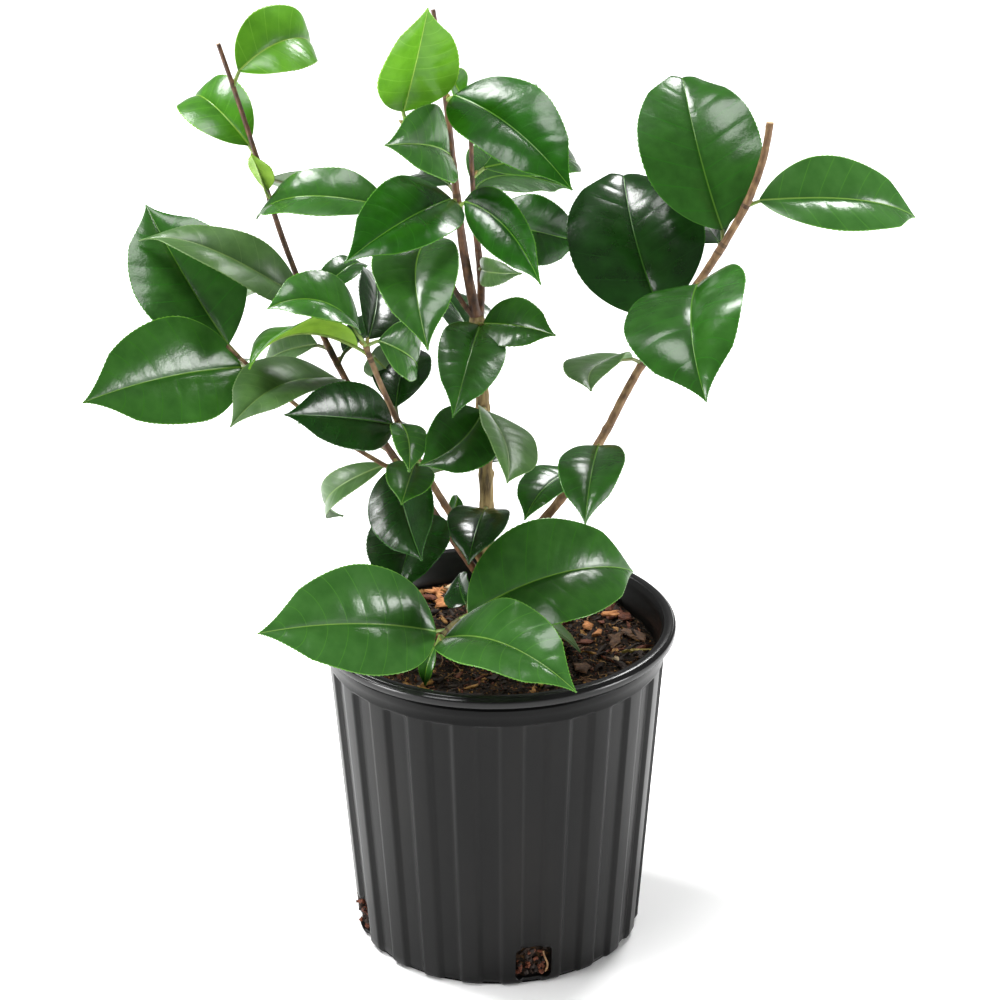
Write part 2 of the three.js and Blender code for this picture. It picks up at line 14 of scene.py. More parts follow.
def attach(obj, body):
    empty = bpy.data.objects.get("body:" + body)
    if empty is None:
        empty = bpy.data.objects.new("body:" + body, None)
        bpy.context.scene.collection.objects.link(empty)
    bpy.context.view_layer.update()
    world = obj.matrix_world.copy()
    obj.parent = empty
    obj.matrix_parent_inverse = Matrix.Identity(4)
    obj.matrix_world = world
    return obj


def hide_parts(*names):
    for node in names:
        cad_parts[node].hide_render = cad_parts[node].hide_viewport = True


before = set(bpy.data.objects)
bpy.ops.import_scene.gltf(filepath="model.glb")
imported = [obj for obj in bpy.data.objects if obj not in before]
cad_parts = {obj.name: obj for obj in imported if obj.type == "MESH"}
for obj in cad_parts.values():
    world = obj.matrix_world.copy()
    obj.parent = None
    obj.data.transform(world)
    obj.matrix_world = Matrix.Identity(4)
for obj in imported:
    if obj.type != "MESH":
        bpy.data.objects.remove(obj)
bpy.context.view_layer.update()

MM = 0.001
BODY = "root"

# Pot and potting mix
POT_HEIGHT = 156
RIM_RADIUS = 82.5
LIP_HEIGHT = 5
LIP_WIDTH = 5.5
LEDGE_DROP = 3
COLLAR_RADIUS = 78.2
COLLAR_HEIGHT = 11
BASE_RADIUS = 66.3
BASE_ROUNDING = 3
POT_WALL = 1.5
POT_FLOOR = 3
FLUTES = 22
FLUTE_DEPTH = 1.8
FLUTE_PHASE = -93
FLUTE_SOFTNESS = 1.3
FLUTE_TOP_REACH = 2.2
STEPS_PER_FLUTE = 20
DRAIN_WIDTH = 17
DRAIN_LOW = 3.5
DRAIN_HIGH = 20
DRAIN_COUNT = 4
DRAIN_HEADING = -76
DRAIN_CORNER = 2.5
SOIL_TOP = 142
CLEAR = 0.3

# Rule of the leaves
PETIOLE = 7
PETIOLE_SHARE = 0.25
SPUR_PETIOLE = 3
PETIOLE_WIDTH = 1.7
PETIOLE_RISE = 0.6
LEAF_FOLD = 18
FOLD_EASING = 0.45
WIDEST_AT = 0.43
BASE_FULLNESS = 2.3
BASE_ROUNDNESS = 0.8
TIP_FULLNESS = 1.9
TIP_DRAWN_OUT = 0.6
TIP_DRAWN_FROM = 0.6
TIP_DRAWN_EASING = 1.1
TIP_WIDTH = 0.8
DROOP_EASING = 1.4
BLADE_PIECES = 3
CURL_FROM = 0.88
CURL_EASING = 1.5

Leaf = namedtuple("Leaf", "share heading rise roll droop sweep length width tone curl", defaults=[0])


def grow_from(parent, share, heading, rise, length, girth):
    """A stem that starts at a share of its parent's length."""
    return {"on": parent, "share": share, "heading": heading, "rise": rise, "length": length, "girth": girth}


def stretch(stem, low, high, leaves, far=(0, 0)):
    """A mass on a leafy stretch of a stem, between two shares of its length."""
    return {"stem": stem, "from": low, "to": high, "leaves": [Leaf(*row) for row in leaves], "far": far}


def spur(parent, share, heading, rise, length, girth, leaves, far=(0, 0)):
    """A mass on a short spur on the side of a stem."""
    twig = grow_from(parent, share, [heading], [rise], length, girth)
    return {"spur": twig, "leaves": [Leaf(*row) for row in leaves], "far": far}


# Stems. Each walks its length while its heading and rise turn evenly through the values given.
# Heading is in degrees from +X towards +Y, rise in degrees above the level, and girth is the
# diameter at each end.
FOOT = [-3, 2, SOIL_TOP + CLEAR]
ROOT_FLARE = 3.4
FLARE_HEIGHT = 7
WALK_STEP = 3
WALK_FEWEST = 6
STEMS = {
    "trunk": {"foot": FOOT, "heading": [190], "rise": [89.5, 89, 86], "length": 161, "girth": [6.8, 5.8]},
    "leader_left": grow_from("trunk", 0.985, [200, 145], [78, 84, 85, 79], 141, [4.6, 1.9]),
    "leader_right": grow_from("trunk", 0.97, [60, 140, 165], [62, 84, 90], 84, [3.9, 1.8]),
    "centre_twig": grow_from("trunk", 0.985, [208, 190], [49, 66, 74, 20], 66, [2.4, 1.6]),
    "top_twig": grow_from("leader_left", 0.48, [204], [60, 39], 35, [2, 1.5]),
    "tall_left": grow_from("trunk", 0.17, [174, 168], [56.5, 56, 66, 75, 72], 280, [3.8, 1.9]),
    "inner_left": grow_from("trunk", 0.23, [200, 205], [59, 63, 72], 131, [3.8, 2.2]),
    "low_left": grow_from("tall_left", 0.233, [200], [33, 44, 48], 111, [2.2, 1.7]),
    "right": grow_from("trunk", 0.2, [8], [45, 52, 65, 54, 60, 85], 248, [4.5, 3.2]),
    "front_shoot": grow_from("trunk", 0.07, [246], [39, -6], 57, [3.4, 2.2]),
}


# Foliage masses: a leafy stretch of a stem, or a short spur on its side. Each leaf's values are in
# the order of the fields of Leaf. A last pair is the seed and count of the leaves that a mass
# grows by the rule of the far side.
MASSES = {
    "leaves_left_top": stretch("tall_left", 0.68, 1, [
        [0.93, 33, 37, 48, 96, 37, 56, 33, "young"],
        [0.81, 144, 42, -38, 96, -5, 59, 29, "sapling"],
        [0.74, 243, 64, 0, 10, 0, 23, 12, "bud"],
    ], (118, 1)),
    "leaves_left_shoulder": stretch("tall_left", 0.36, 0.68, [
        [0.56, 233, 32, -64, 90, 57, 86, 29, "dull"],
        [0.41, 231, 23, -8, 42, -20, 84, 36, "dull"],
        [0.48, 148, -18, -38, 44, 5, 48, 22, "dull"],
        [0.55, 45, 29, 25, 75, -10, 45, 15, "deep"],
    ], (5, 2)),
    "leaves_left_far": stretch("low_left", 0.78, 1, [
        [0.93, 145, 46, -36, 20, 12, 76, 50, "deep"],
        [0.84, 218, 11, -52, 11, -14, 81, 50, "mid"],
    ], (2, 1)),
    "leaves_left_inner": stretch("inner_left", 0.47, 1, [
        [1, 209, 62, -25, 98, -22, 50, 34, "mid"],
        [0.96, 180, 28, 32, 92, -18, 57, 36, "sapling"],
        [0.65, 227, 24, -62, 18, -3, 63, 32, "dark"],
        [0.97, 79, 23, 46, 40, 0, 60, 26, "dark"],
        [1, 33, -29, 62, 48, 2, 36, 27, "fresh"],
        [0.69, 86, 27, 2, 34, 10, 51, 27, "dark"],
        [0.67, 288, 4, -13, 68, 7, 32, 17, "fresh"],
        [0.94, 80, -32, -60, 14, 0, 38, 15, "mid"],
        [0.51, 263, -6, -11, 12, 2, 33, 22, "mid"],
    ], (1, 1)),
    "leaves_left_low": stretch("tall_left", 0.247, 0.3, [
        [0.255, 180, -22, -46, 122, 6, 65, 15, "dull"],
        [0.262, 279, -20, 32, -4, -9, 66, 33, "dark"],
    ], (10, 1)),
    "leaves_left_foot": spur("tall_left", 0.17, 199, -10, 4, [1.8, 1.7], [
        [1, 262, -13, 5, 18, 8, 53, 39, "dark"],
    ]),
    "bud_left": spur("tall_left", 0.13, 52, 40, 2.6, [1.6, 1.4], [
        [1, 52, 37, 61, 54, -6, 14, 8, "mid"],
    ]),
    "leaves_crown_top": stretch("top_twig", 0.3, 1, [
        # Painted light: this leaf takes the lighter copy of the young tone
        [0.98, 130, 112, -12, 6, 0, 51, 39, "bright"],
    ]),
    "leaves_crown_upper": stretch("leader_left", 0.33, 1, [
        [0.52, 257, 28, -72, 45, -4, 55, 35, "fresh"],
        [0.39, 246, 8, -32, 44, 6, 77, 37, "vivid"],
        [0.72, 309, -1, 26, 43, 11, 79, 40, "vivid"],
        [0.38, 306, 6, 65, 10, 46, 68, 25, "vivid"],
        [0.8, 63, -46, 86, 5, 0, 26, 16, "sapling"],
    ], (454, 2)),
    "leaves_crown_right": stretch("leader_right", 0.4, 1, [
        [0.67, 78, 0, 31, 0, 60, 77, 36, "mid"],
        [0.53, 38, -23, 76, 6, -2, 61, 32, "vivid"],
        [0.79, 22, 4, 45, 74, -13, 70, 22, "mid"],
    ], (1, 1)),
    "leaf_fork_right": spur("leader_right", 0.29, 275, 30, 4, [1.8, 1.7], [
        [1, 275, 13, 88, 66, -5, 35, 13, "dull"],
    ]),
    "leaves_crown_centre": stretch("centre_twig", 0.5, 1, [
        [0.68, 254, 0, 0, 46, -35, 79, 38, "mid"],
        [0.98, 181, 14, -33, 81, 18, 72, 29, "mid"],
    ]),
    "leaves_trunk_fork": spur("trunk", 0.965, 284, 36, 4.6, [2.6, 2.2], [
        [1, 262, -3, -20, 29, -5, 68, 30, "deep"],
        [1, 315, 15, 46, 26, 6, 41, 25, "mid"],
    ]),
    "leaves_trunk_middle": spur("trunk", 0.725, 273, 20, 5, [2.8, 2.4], [
        [1, 252, -18, -36, -5, 33, 55, 32, "deep"],
        [1, 295, -9, -34, 28, 20, 56, 33, "dull"],
    ]),
    "leaves_trunk_low": spur("trunk", 0.42, 265, 25, 5, [2.6, 2.2], [
        [1, 263, 12, -1, 48, 4, 48, 28, "dark"],
    ]),
    "leaves_back_upper": spur("trunk", 0.84, 95, 25, 6, [2.6, 2.2], [], (413, 2)),
    "leaves_back_low": spur("trunk", 0.52, 80, 25, 6, [2.6, 2.2], [], (92, 2)),
    "leaves_trunk_foot": spur("trunk", 0.09, 347, 15, 5.5, [2.2, 1.8], [
        [1, 348, -10, -22, 32, 3, 39, 31, "dull"],
    ]),
    "leaves_right_top": stretch("right", 0.71, 1, [
        [0.76, 128, 58, -29, 48, 19, 88, 56, "deep", 150],
        [0.84, 1, 3, 42, 58, -8, 83, 39, "fresh"],
    ], (342, 1)),
    "leaves_right_middle": stretch("right", 0.47, 0.71, [
        [0.57, 135, 56, -39, 56, 24, 84, 63, "dark", 150],
        [0.67, 258, 4, 24, 70, 1, 80, 59, "deep"],
        [0.5, 203, 3, 19, 35, -78, 47, 29, "dull"],
    ], (13, 2)),
    "leaves_right_low": stretch("right", 0.22, 0.37, [
        [0.32, 262, 4, 4, 38, 1, 62, 30, "deep"],
        [0.26, 232, 8, 2, 43, -13, 46, 25, "deep"],
    ]),
    "leaves_front": stretch("front_shoot", 0.48, 1, [
        [0.89, 216, 25, -52, 34, -10, 89, 52, "fresh"],
        [0.66, 13, 29, 44, 74, 19, 93, 52, "mid"],
        [0.99, 308, 27, 24, 70, 5, 83, 42, "fresh"],
        [1, 213, -59, -22, 42, -6, 20, 8, "mid"],
    ]),
    "leaf_front_small": spur("front_shoot", 0.42, 121, 50, 3, [1.6, 1.5], [
        [1, 116, 30, -69, 32, 9, 18, 20, "dark"],
    ]),
}
FAR_TONES = ("dark", "deep", "dark")

# Bare stretches of the stems: stem, from share, to share
BOUGHS = {
    "trunk": ["trunk", 0, 1],
    "leader_left": ["leader_left", 0, 0.33],
    "leader_right": ["leader_right", 0, 0.4],
    "centre_twig": ["centre_twig", 0, 0.5],
    "top_twig": ["top_twig", 0, 0.3],
    "bough_tall_left": ["tall_left", 0, 0.247],
    "bough_tall_left_middle": ["tall_left", 0.3, 0.36],
    "bough_inner_left": ["inner_left", 0, 0.47],
    "bough_low_left": ["low_left", 0, 0.78],
    "bough_right": ["right", 0, 0.22],
    "bough_right_upper": ["right", 0.37, 0.47],
    "shoot_front": ["front_shoot", 0, 0.48],
}

# Seeded rule of the far side, with the ranges of heading, rise, roll, droop, sweep and length
FAR_RANGES = [(35, 145), (-25, 30), (-35, 35), (20, 60), (-12, 12), (46, 70)]
FAR_TRIES = 40
FAR_WIDTH_SHARE = 0.54
STRETCH_ENDS = (0.02, 0.01)
MASS_REACH = 84
LEAF_APART = 8
STEM_APART = 4
ROOM_AT_ROOT = 16
TEST_STATIONS = (0.12, 0.24, 0.36, 0.48, 0.6, 0.72, 0.84, 0.94, 1)
TEST_ACROSS = (-1, -0.5, 0, 0.5, 1)


# Directions and stems


def unit(vector):
    return vector / np.linalg.norm(vector)


def way_along(values, start, end):
    """How far values are on the way from start to end, between 0 and 1."""
    return np.clip((values - start) / (end - start), 0, 1)


def direction(heading, rise=0):
    h = radians(heading)
    r = radians(rise)
    return np.array([cos(r) * cos(h), cos(r) * sin(h), sin(r)])


def along(values, share):
    """Value of an evenly spaced list at a share between 0 and 1."""
    place = min(max(share, 0), 1) * (len(values) - 1)
    index = min(int(place), max(len(values) - 2, 0))
    after = min(index + 1, len(values) - 1)
    return values[index] + (values[after] - values[index]) * (place - index)


def stem_tangent(stem, share):
    return direction(along(stem["heading"], share), along(stem["rise"], share))


def walk(stem, start):
    steps = max(WALK_FEWEST, floor(stem["length"] / WALK_STEP + 0.5))
    points = [np.array(start, float)]
    for i in range(steps):
        step = stem_tangent(stem, (i + 0.5) / steps)
        points.append(points[-1] + step * (stem["length"] / steps))
    stem["points"] = np.array(points)


def stem_point(stem, share):
    return along(stem["points"], share)


def stem_radius(stem, share):
    radius = along(stem["girth"], share) / 2
    if "foot" in stem:
        radius += ROOT_FLARE / 2 * exp(-share * stem["length"] / FLARE_HEIGHT)
    return radius


def mass_stem(mass):
    return mass["spur"] if "spur" in mass else STEMS[mass["stem"]]


for stem in STEMS.values():
    walk(stem, stem["foot"] if "foot" in stem else stem_point(STEMS[stem["on"]], stem["share"]))
for mass in MASSES.values():
    if "spur" in mass:
        walk(mass["spur"], stem_point(STEMS[mass["spur"]["on"]], mass["spur"]["share"]))
        mass["spur"]["petiole"] = SPUR_PETIOLE


# Leaves


def half_width_share(u):
    low = way_along(u, WIDEST_AT, 0)
    high = way_along(u, WIDEST_AT, 1)
    drawn_out = way_along(high, TIP_DRAWN_FROM, 1) ** TIP_DRAWN_EASING
    return np.where(
        u < WIDEST_AT,
        (1 - low**BASE_FULLNESS) ** BASE_ROUNDNESS,
        (1 - high**TIP_FULLNESS) * (1 - TIP_DRAWN_OUT * drawn_out))


def leaf_frame(stem, leaf):
    """A leaf's frame where its petiole meets the blade."""
    root = stem_point(stem, leaf.share)
    out = direction(leaf.heading, leaf.rise)
    petiole = unit(stem_tangent(stem, leaf.share) * PETIOLE_RISE + out)
    reach = min(stem.get("petiole", PETIOLE), PETIOLE_SHARE * leaf.length)
    level = direction(leaf.heading - 90)
    top = np.cross(level, out)
    turn = radians(leaf.roll)
    return {
        "root": root,
        "out": out,
        "base": root + petiole * reach,
        "face": top * cos(turn) + level * sin(turn),
        "side": level * cos(turn) - top * sin(turn),
    }


def blade_turn(place, leaf, u):
    """Directions and upper normals of a blade at shares u of its length, its tip curled under."""
    u = np.asarray(u, float).reshape(-1, 1)
    curl = radians(leaf.curl) * way_along(u, CURL_FROM, 1) ** CURL_EASING
    down = radians(leaf.droop) * u**DROOP_EASING + curl
    aside = radians(leaf.sweep) * u
    flat = np.cos(aside) * place["out"] + np.sin(aside) * place["side"]
    tangent = np.cos(down) * flat - np.sin(down) * place["face"]
    normal = np.cos(down) * place["face"] + np.sin(down) * flat
    return tangent, normal


def blade_points(stem, leaf):
    """Points spread over a blade, found by walking along it from one test station to the next."""
    place = leaf_frame(stem, leaf)
    point = place["base"]
    before = 0
    centres = []
    for u in TEST_STATIONS:
        step = (u - before) / BLADE_PIECES
        mids = [before + (i + 0.5) * step for i in range(BLADE_PIECES)]
        point = point + blade_turn(place, leaf, mids)[0].sum(axis=0) * leaf.length * step
        centres.append(point)
        before = u
    u = np.array(TEST_STATIONS, float)
    tangent, normal = blade_turn(place, leaf, u)
    half = np.maximum(0, leaf.width / 2 * half_width_share(u))
    fold = radians(LEAF_FOLD) * (1 - FOLD_EASING * u)
    share = np.array(TEST_ACROSS, float)
    x = (half * np.cos(fold))[:, None] * share
    z = (half * np.sin(fold))[:, None] * np.abs(share)
    across = np.cross(tangent, normal)
    spread = np.array(centres)[:, None] + across[:, None] * x[..., None] + normal[:, None] * z[..., None]
    return spread.reshape(-1, 3)


def seeded(seed):
    """Seeded numbers between 0 and 1, the same ones as in the source of the solids."""
    whole = 0xFFFFFFFF
    state = seed

    def draw():
        nonlocal state
        state = (state + 0x6D2B79F5) & whole
        t = ((state ^ (state >> 15)) * (state | 1)) & whole
        t = ((t + (((t ^ (t >> 7)) * (t | 61)) & whole)) & whole) ^ t
        return ((t ^ (t >> 14)) & whole) / (whole + 1)

    return draw


def wall_radius(z):
    return BASE_RADIUS + (COLLAR_RADIUS - BASE_RADIUS) * z / (POT_HEIGHT - LIP_HEIGHT)


def nearest(points, others):
    return np.linalg.norm(points[:, None] - others[None], axis=2).min() if len(points) else inf


def has_room(mass, leaf, blades):
    """Whether a leaf stays in its space and keeps its distance from all that is there."""
    stem = mass_stem(mass)
    root = stem_point(stem, leaf.share)
    middle = stem_point(stem, 1 if "spur" in mass else (mass["from"] + mass["to"]) / 2)
    points = blade_points(stem, leaf)
    away = points[np.linalg.norm(points - root, axis=1) > ROOM_AT_ROOT]
    low = points[:, 2] < POT_HEIGHT + STEM_APART
    outside = np.hypot(points[:, 0], points[:, 1]) > wall_radius(SOIL_TOP) - LEAF_APART
    too_far = (np.linalg.norm(points - middle, axis=1) > MASS_REACH).any()
    in_pot = (low & outside).any() or (points[:, 2] < SOIL_TOP + STEM_APART).any()
    if too_far or in_pot or any(nearest(away, blade) < LEAF_APART for blade in blades):
        return False
    stems = STEMS.values()
    return all(nearest(away, other["points"]) >= STEM_APART + other["girth"][0] / 2 for other in stems)


def grow_far_leaves():
    """Leaves of the far side: each mass draws its own and skips one that has no room."""
    blades = [blade_points(mass_stem(mass), leaf) for mass in MASSES.values() for leaf in mass["leaves"]]
    for mass in MASSES.values():
        seed, count = mass["far"]
        draw = seeded(seed)
        tip, ends = [1], []
        if "stem" in mass:
            tip, ends = [], [(mass["from"] + STRETCH_ENDS[0], mass["to"] - STRETCH_ENDS[1])]
        wanted = len(mass["leaves"]) + count
        for _ in range(FAR_TRIES):
            if len(mass["leaves"]) == wanted:
                break
            drawn = tip + [low + (high - low) * draw() for low, high in ends + FAR_RANGES]
            tone = FAR_TONES[len(blades) % len(FAR_TONES)]
            leaf = Leaf(*drawn, drawn[-1] * FAR_WIDTH_SHARE, tone)
            if has_room(mass, leaf, blades):
                blades.append(blade_points(mass_stem(mass), leaf))
                mass["leaves"].append(leaf)


grow_far_leaves()

# Fine leaf surface: veins, the grid of a blade, its relief and its toothed edge
VEINS = 8
VEIN_FIRST = 0.1
VEIN_LAST = 0.86
VEIN_WIDTH = 0.35
ROW_STEP = 1.0
HERRING = 0.5
HERRING_EASING = 1.2
BLADE_COLUMNS = 9
RIB_HALF = (0.42, 0.16)
RIB_MOST = 0.34
RIB_GROOVE = 0.12
MARGIN_WIDTH = 0.28
MARGIN_MOST = 0.2
PETIOLE_BLEND = 0.05
TOOTH = 0.35
TOOTHLESS_BELOW = 0.14
TOOTHED_FROM = 0.24
TOOTHLESS_ABOVE = 0.985
QUILT = 0.15
QUILT_WIDTH = 40
QUILT_EASING = 0.8
QUILT_SPREAD = (0.7, 1.3)
BULGE = 0.06
WAVE = 0.02
WAVE_COUNTS = (1.6, 2.6)
WAVE_STARTS = (0, 6.3)
RIPPLE = 0.06
RIPPLE_BLUR = (0.3, 0.4, 0.3)
BLADE_THICKNESS = (0.6, 0.3)
MIDLINE_SAMPLES = 161

# The petiole runs on as a ridge under the midrib
STALK_SIDES = 10
RIDGE_REACH = 0.9
RIDGE_STEP = 5
RIDGE_TAPER = 0.78
STALK_SWELL = 0.35

# Buds between leaf and stem, beside leaves longer than a length
BUD_LENGTH = 3.4
BUD_WIDTH = 1.7
BUD_SIDES = 12
BUDLESS_BELOW = 30

# Fine bark surface, which bark each stem has, and the stems that were cut back
BARK_STEP = 0.9
BARK_SIDES = 22
NODE_SPACING = (13, 24)
NODE_REACH = 0.8
NODE_SWELL = 0.1
SCAR_SWELL = (0.03, 0.2)
SCAR_TURN = 137.5
SCAR_ANGLE = 0.55
COLLAR_SWELL = 0.45
BARK_KINDS = {
    "trunk": "bark_grey",
    "right": "bark_tan",
    "low_left": "bark_tan",
    "inner_left": "bark_tan",
    "front_shoot": "bark_green",
}
CUT_STEMS = ("tall_left", "right", "leader_right", "inner_left")


class Shape:
    """Points and faces gathered from many small parts into one mesh."""

    def __init__(self):
        self.points = []
        self.faces = []
        self.kinds = []
        self.count = 0

    def add(self, points, faces, kinds):
        """Adds a part, with one kind of surface for all its faces or a list with each face's."""
        if isinstance(faces, np.ndarray):
            faces = faces.tolist()
        self.points.append(points)
        self.faces.extend([corner + self.count for corner in face] for face in faces)
        self.kinds.extend([kinds] * len(faces) if isinstance(kinds, str) else kinds)
        self.count += len(points)


def add_object(name, data):
    made = bpy.data.objects.new(name, data)
    bpy.context.scene.collection.objects.link(made)
    return made


def make_mesh(name, shape, smooth=True):
    """The mesh of a shape, with a material for each kind of surface in it."""
    mesh = bpy.data.meshes.new(name)
    mesh.from_pydata((np.vstack(shape.points) * MM).tolist(), [], shape.faces)
    used = sorted(set(shape.kinds))
    for kind in used:
        mesh.materials.append(material(kind))
    mesh.polygons.foreach_set("material_index", [used.index(kind) for kind in shape.kinds])
    mesh.polygons.foreach_set("use_smooth", [smooth] * len(shape.faces))
    mesh.update()
    return mesh


def make_piece(name, shape, node, smooth=True):
    """One mesh piece of the shrub, riding on the body and standing for the given solid."""
    piece = add_object(name, make_mesh(name, shape, smooth))
    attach(piece, BODY)
    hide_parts(node)
    return piece


def turns(count):
    """Evenly spaced turns round a circle."""
    return np.arange(count) / count * 2 * pi


def grid_faces(rows, columns, around=False):
    """Four-sided faces of a grid of points, closed across its last column if it runs around."""
    r, c = np.meshgrid(np.arange(rows - 1), np.arange(columns if around else columns - 1), indexing="ij")
    after = (c + 1) % columns
    corners = (r * columns + c, r * columns + after, (r + 1) * columns + after, (r + 1) * columns + c)
    return np.stack(corners, axis=-1).reshape(-1, 4)


def fan_closed(rows, sides):
    """Faces of a round grid, with fans at its ends around two points that follow the grid's own."""
    size = rows * sides
    faces = grid_faces(rows, sides, around=True).tolist()
    for k in range(sides):
        after = (k + 1) % sides
        faces += [[size, after, k], [size + 1, size - sides + k, size - sides + after]]
    return faces


def flat_closed(rows, sides):
    """Faces of a round grid, with one flat face over each end."""
    size = rows * sides
    ends = [list(range(sides))[::-1], list(range(size - sides, size))]
    return grid_faces(rows, sides, around=True).tolist() + ends


def waviness(points, seed, size, count=14):
    """Smooth uneven values at points, about as wide as size, mostly between -1 and 1."""
    draw = np.random.default_rng(seed)
    slopes = draw.normal(size=(count, points.shape[-1])) * (2.6 / size)
    starts = draw.uniform(0, 2 * pi, count)
    return np.sin(points @ slopes.T + starts).sum(axis=-1) * sqrt(2 / count) * 0.7


def frames_along(points):
    """Two directions square to a line of points, turned as little as possible on the way."""
    tangents = np.gradient(points, axis=0)
    tangents /= np.linalg.norm(tangents, axis=1)[:, None]
    helper = np.array([1.0, 0, 0]) if abs(tangents[0][0]) < 0.8 else np.array([0, 1.0, 0])
    side = unit(helper - tangents[0] * (helper @ tangents[0]))
    sides = []
    for tangent in tangents:
        side = unit(side - tangent * (side @ tangent))
        sides.append(side)
    return np.array(sides), np.cross(tangents, sides)


def add_tube(shape, points, radii, kind, end_kind=None, ring_kinds=None):
    """A closed tube along points. Radii has one row for each point and one column for each side."""
    rows, sides = radii.shape
    side, other = frames_along(points)
    angle = turns(sides)[:, None]
    ring = side[:, None] * np.cos(angle) + other[:, None] * np.sin(angle)
    skin = (points[:, None] + ring * radii[..., None]).reshape(-1, 3)
    kinds = [ring_kind for ring_kind in ring_kinds or [kind] * (rows - 1) for _ in range(sides)]
    kinds += [kind, end_kind or kind] * sides
    shape.add(np.vstack([skin, points[0], points[-1]]), fan_closed(rows, sides), kinds)


def leaf_rows(length):
    """Shares of the rows of a blade, whether each band between two rows is a vein, and the veins."""
    half = VEIN_WIDTH / 2 / length
    veins = np.linspace(VEIN_FIRST, VEIN_LAST, VEINS)
    edges = [0.0] + [v + d for v in veins for d in (-half, half)] + [1.0]
    rows = [0.0]
    bands = []
    for i, (low, high) in enumerate(zip(edges[:-1], edges[1:])):
        is_vein = i % 2 == 1
        count = 1 if is_vein else max(2, round((high - low) * length / ROW_STEP))
        rows += [low + (high - low) * (k + 1) / count for k in range(count)]
        bands += [is_vein] * count
    return np.array(rows), bands, veins


def half_width(leaf, u):
    return np.maximum(leaf.width / 2 * half_width_share(u), TIP_WIDTH / 2)


def leaf_columns(leaf, rows):
    """Places of a blade's columns from -1 at one edge over the midrib to 1 at the other."""
    own_half = half_width(leaf, rows)
    rib_half = RIB_HALF[0] + (RIB_HALF[1] - RIB_HALF[0]) * rows
    rib = np.minimum(rib_half / own_half, RIB_MOST)[:, None]
    edge = 1 - np.minimum(MARGIN_WIDTH / own_half, MARGIN_MOST)[:, None]
    half = np.concatenate([rib + (edge - rib) * np.linspace(0, 1, BLADE_COLUMNS), np.ones_like(rib)], axis=1)
    return np.concatenate([-half[:, ::-1], np.zeros_like(rib), half], axis=1)


def leaf_lift(leaf, rows, veins, x, u, half, fold, draw):
    """How far each point of a blade is lifted: its fold, bulge, puckers, ripples and wavy edge."""
    size = np.abs(x)
    between = np.interp(rows, veins, np.arange(VEINS))
    inside = (rows > veins[0]) & (rows < veins[-1])
    pucker = np.where(inside, np.abs(np.sin(pi * between)) ** QUILT_EASING, 0)[:, None]
    strength = QUILT * leaf.width / QUILT_WIDTH * draw.uniform(*QUILT_SPREAD)
    lift = half * np.sin(fold) * size
    lift += BULGE * half * np.sin(pi * size**0.9)
    lift += strength * pucker * np.clip(size * 3, 0, 1) * (1 - size**3)
    ripples = [np.convolve(draw.normal(size=len(rows) + 2), RIPPLE_BLUR, "valid")[:, None] for _ in range(2)]
    calm = np.clip(size * 4, 0, 1) * (1 - size**4) * np.sin(pi * rows[:, None]) ** 0.5
    lift += RIPPLE * np.where(x > 0, *ripples) * calm
    count = draw.uniform(*WAVE_COUNTS)
    start = np.where(x > 0, draw.uniform(*WAVE_STARTS), draw.uniform(*WAVE_STARTS))
    wave = np.sin(2 * pi * count * u + start) * np.sin(pi * u)
    lift += WAVE * leaf.width * size**2.5 * wave
    return lift - np.where(size == 0, RIB_GROOVE, 0)


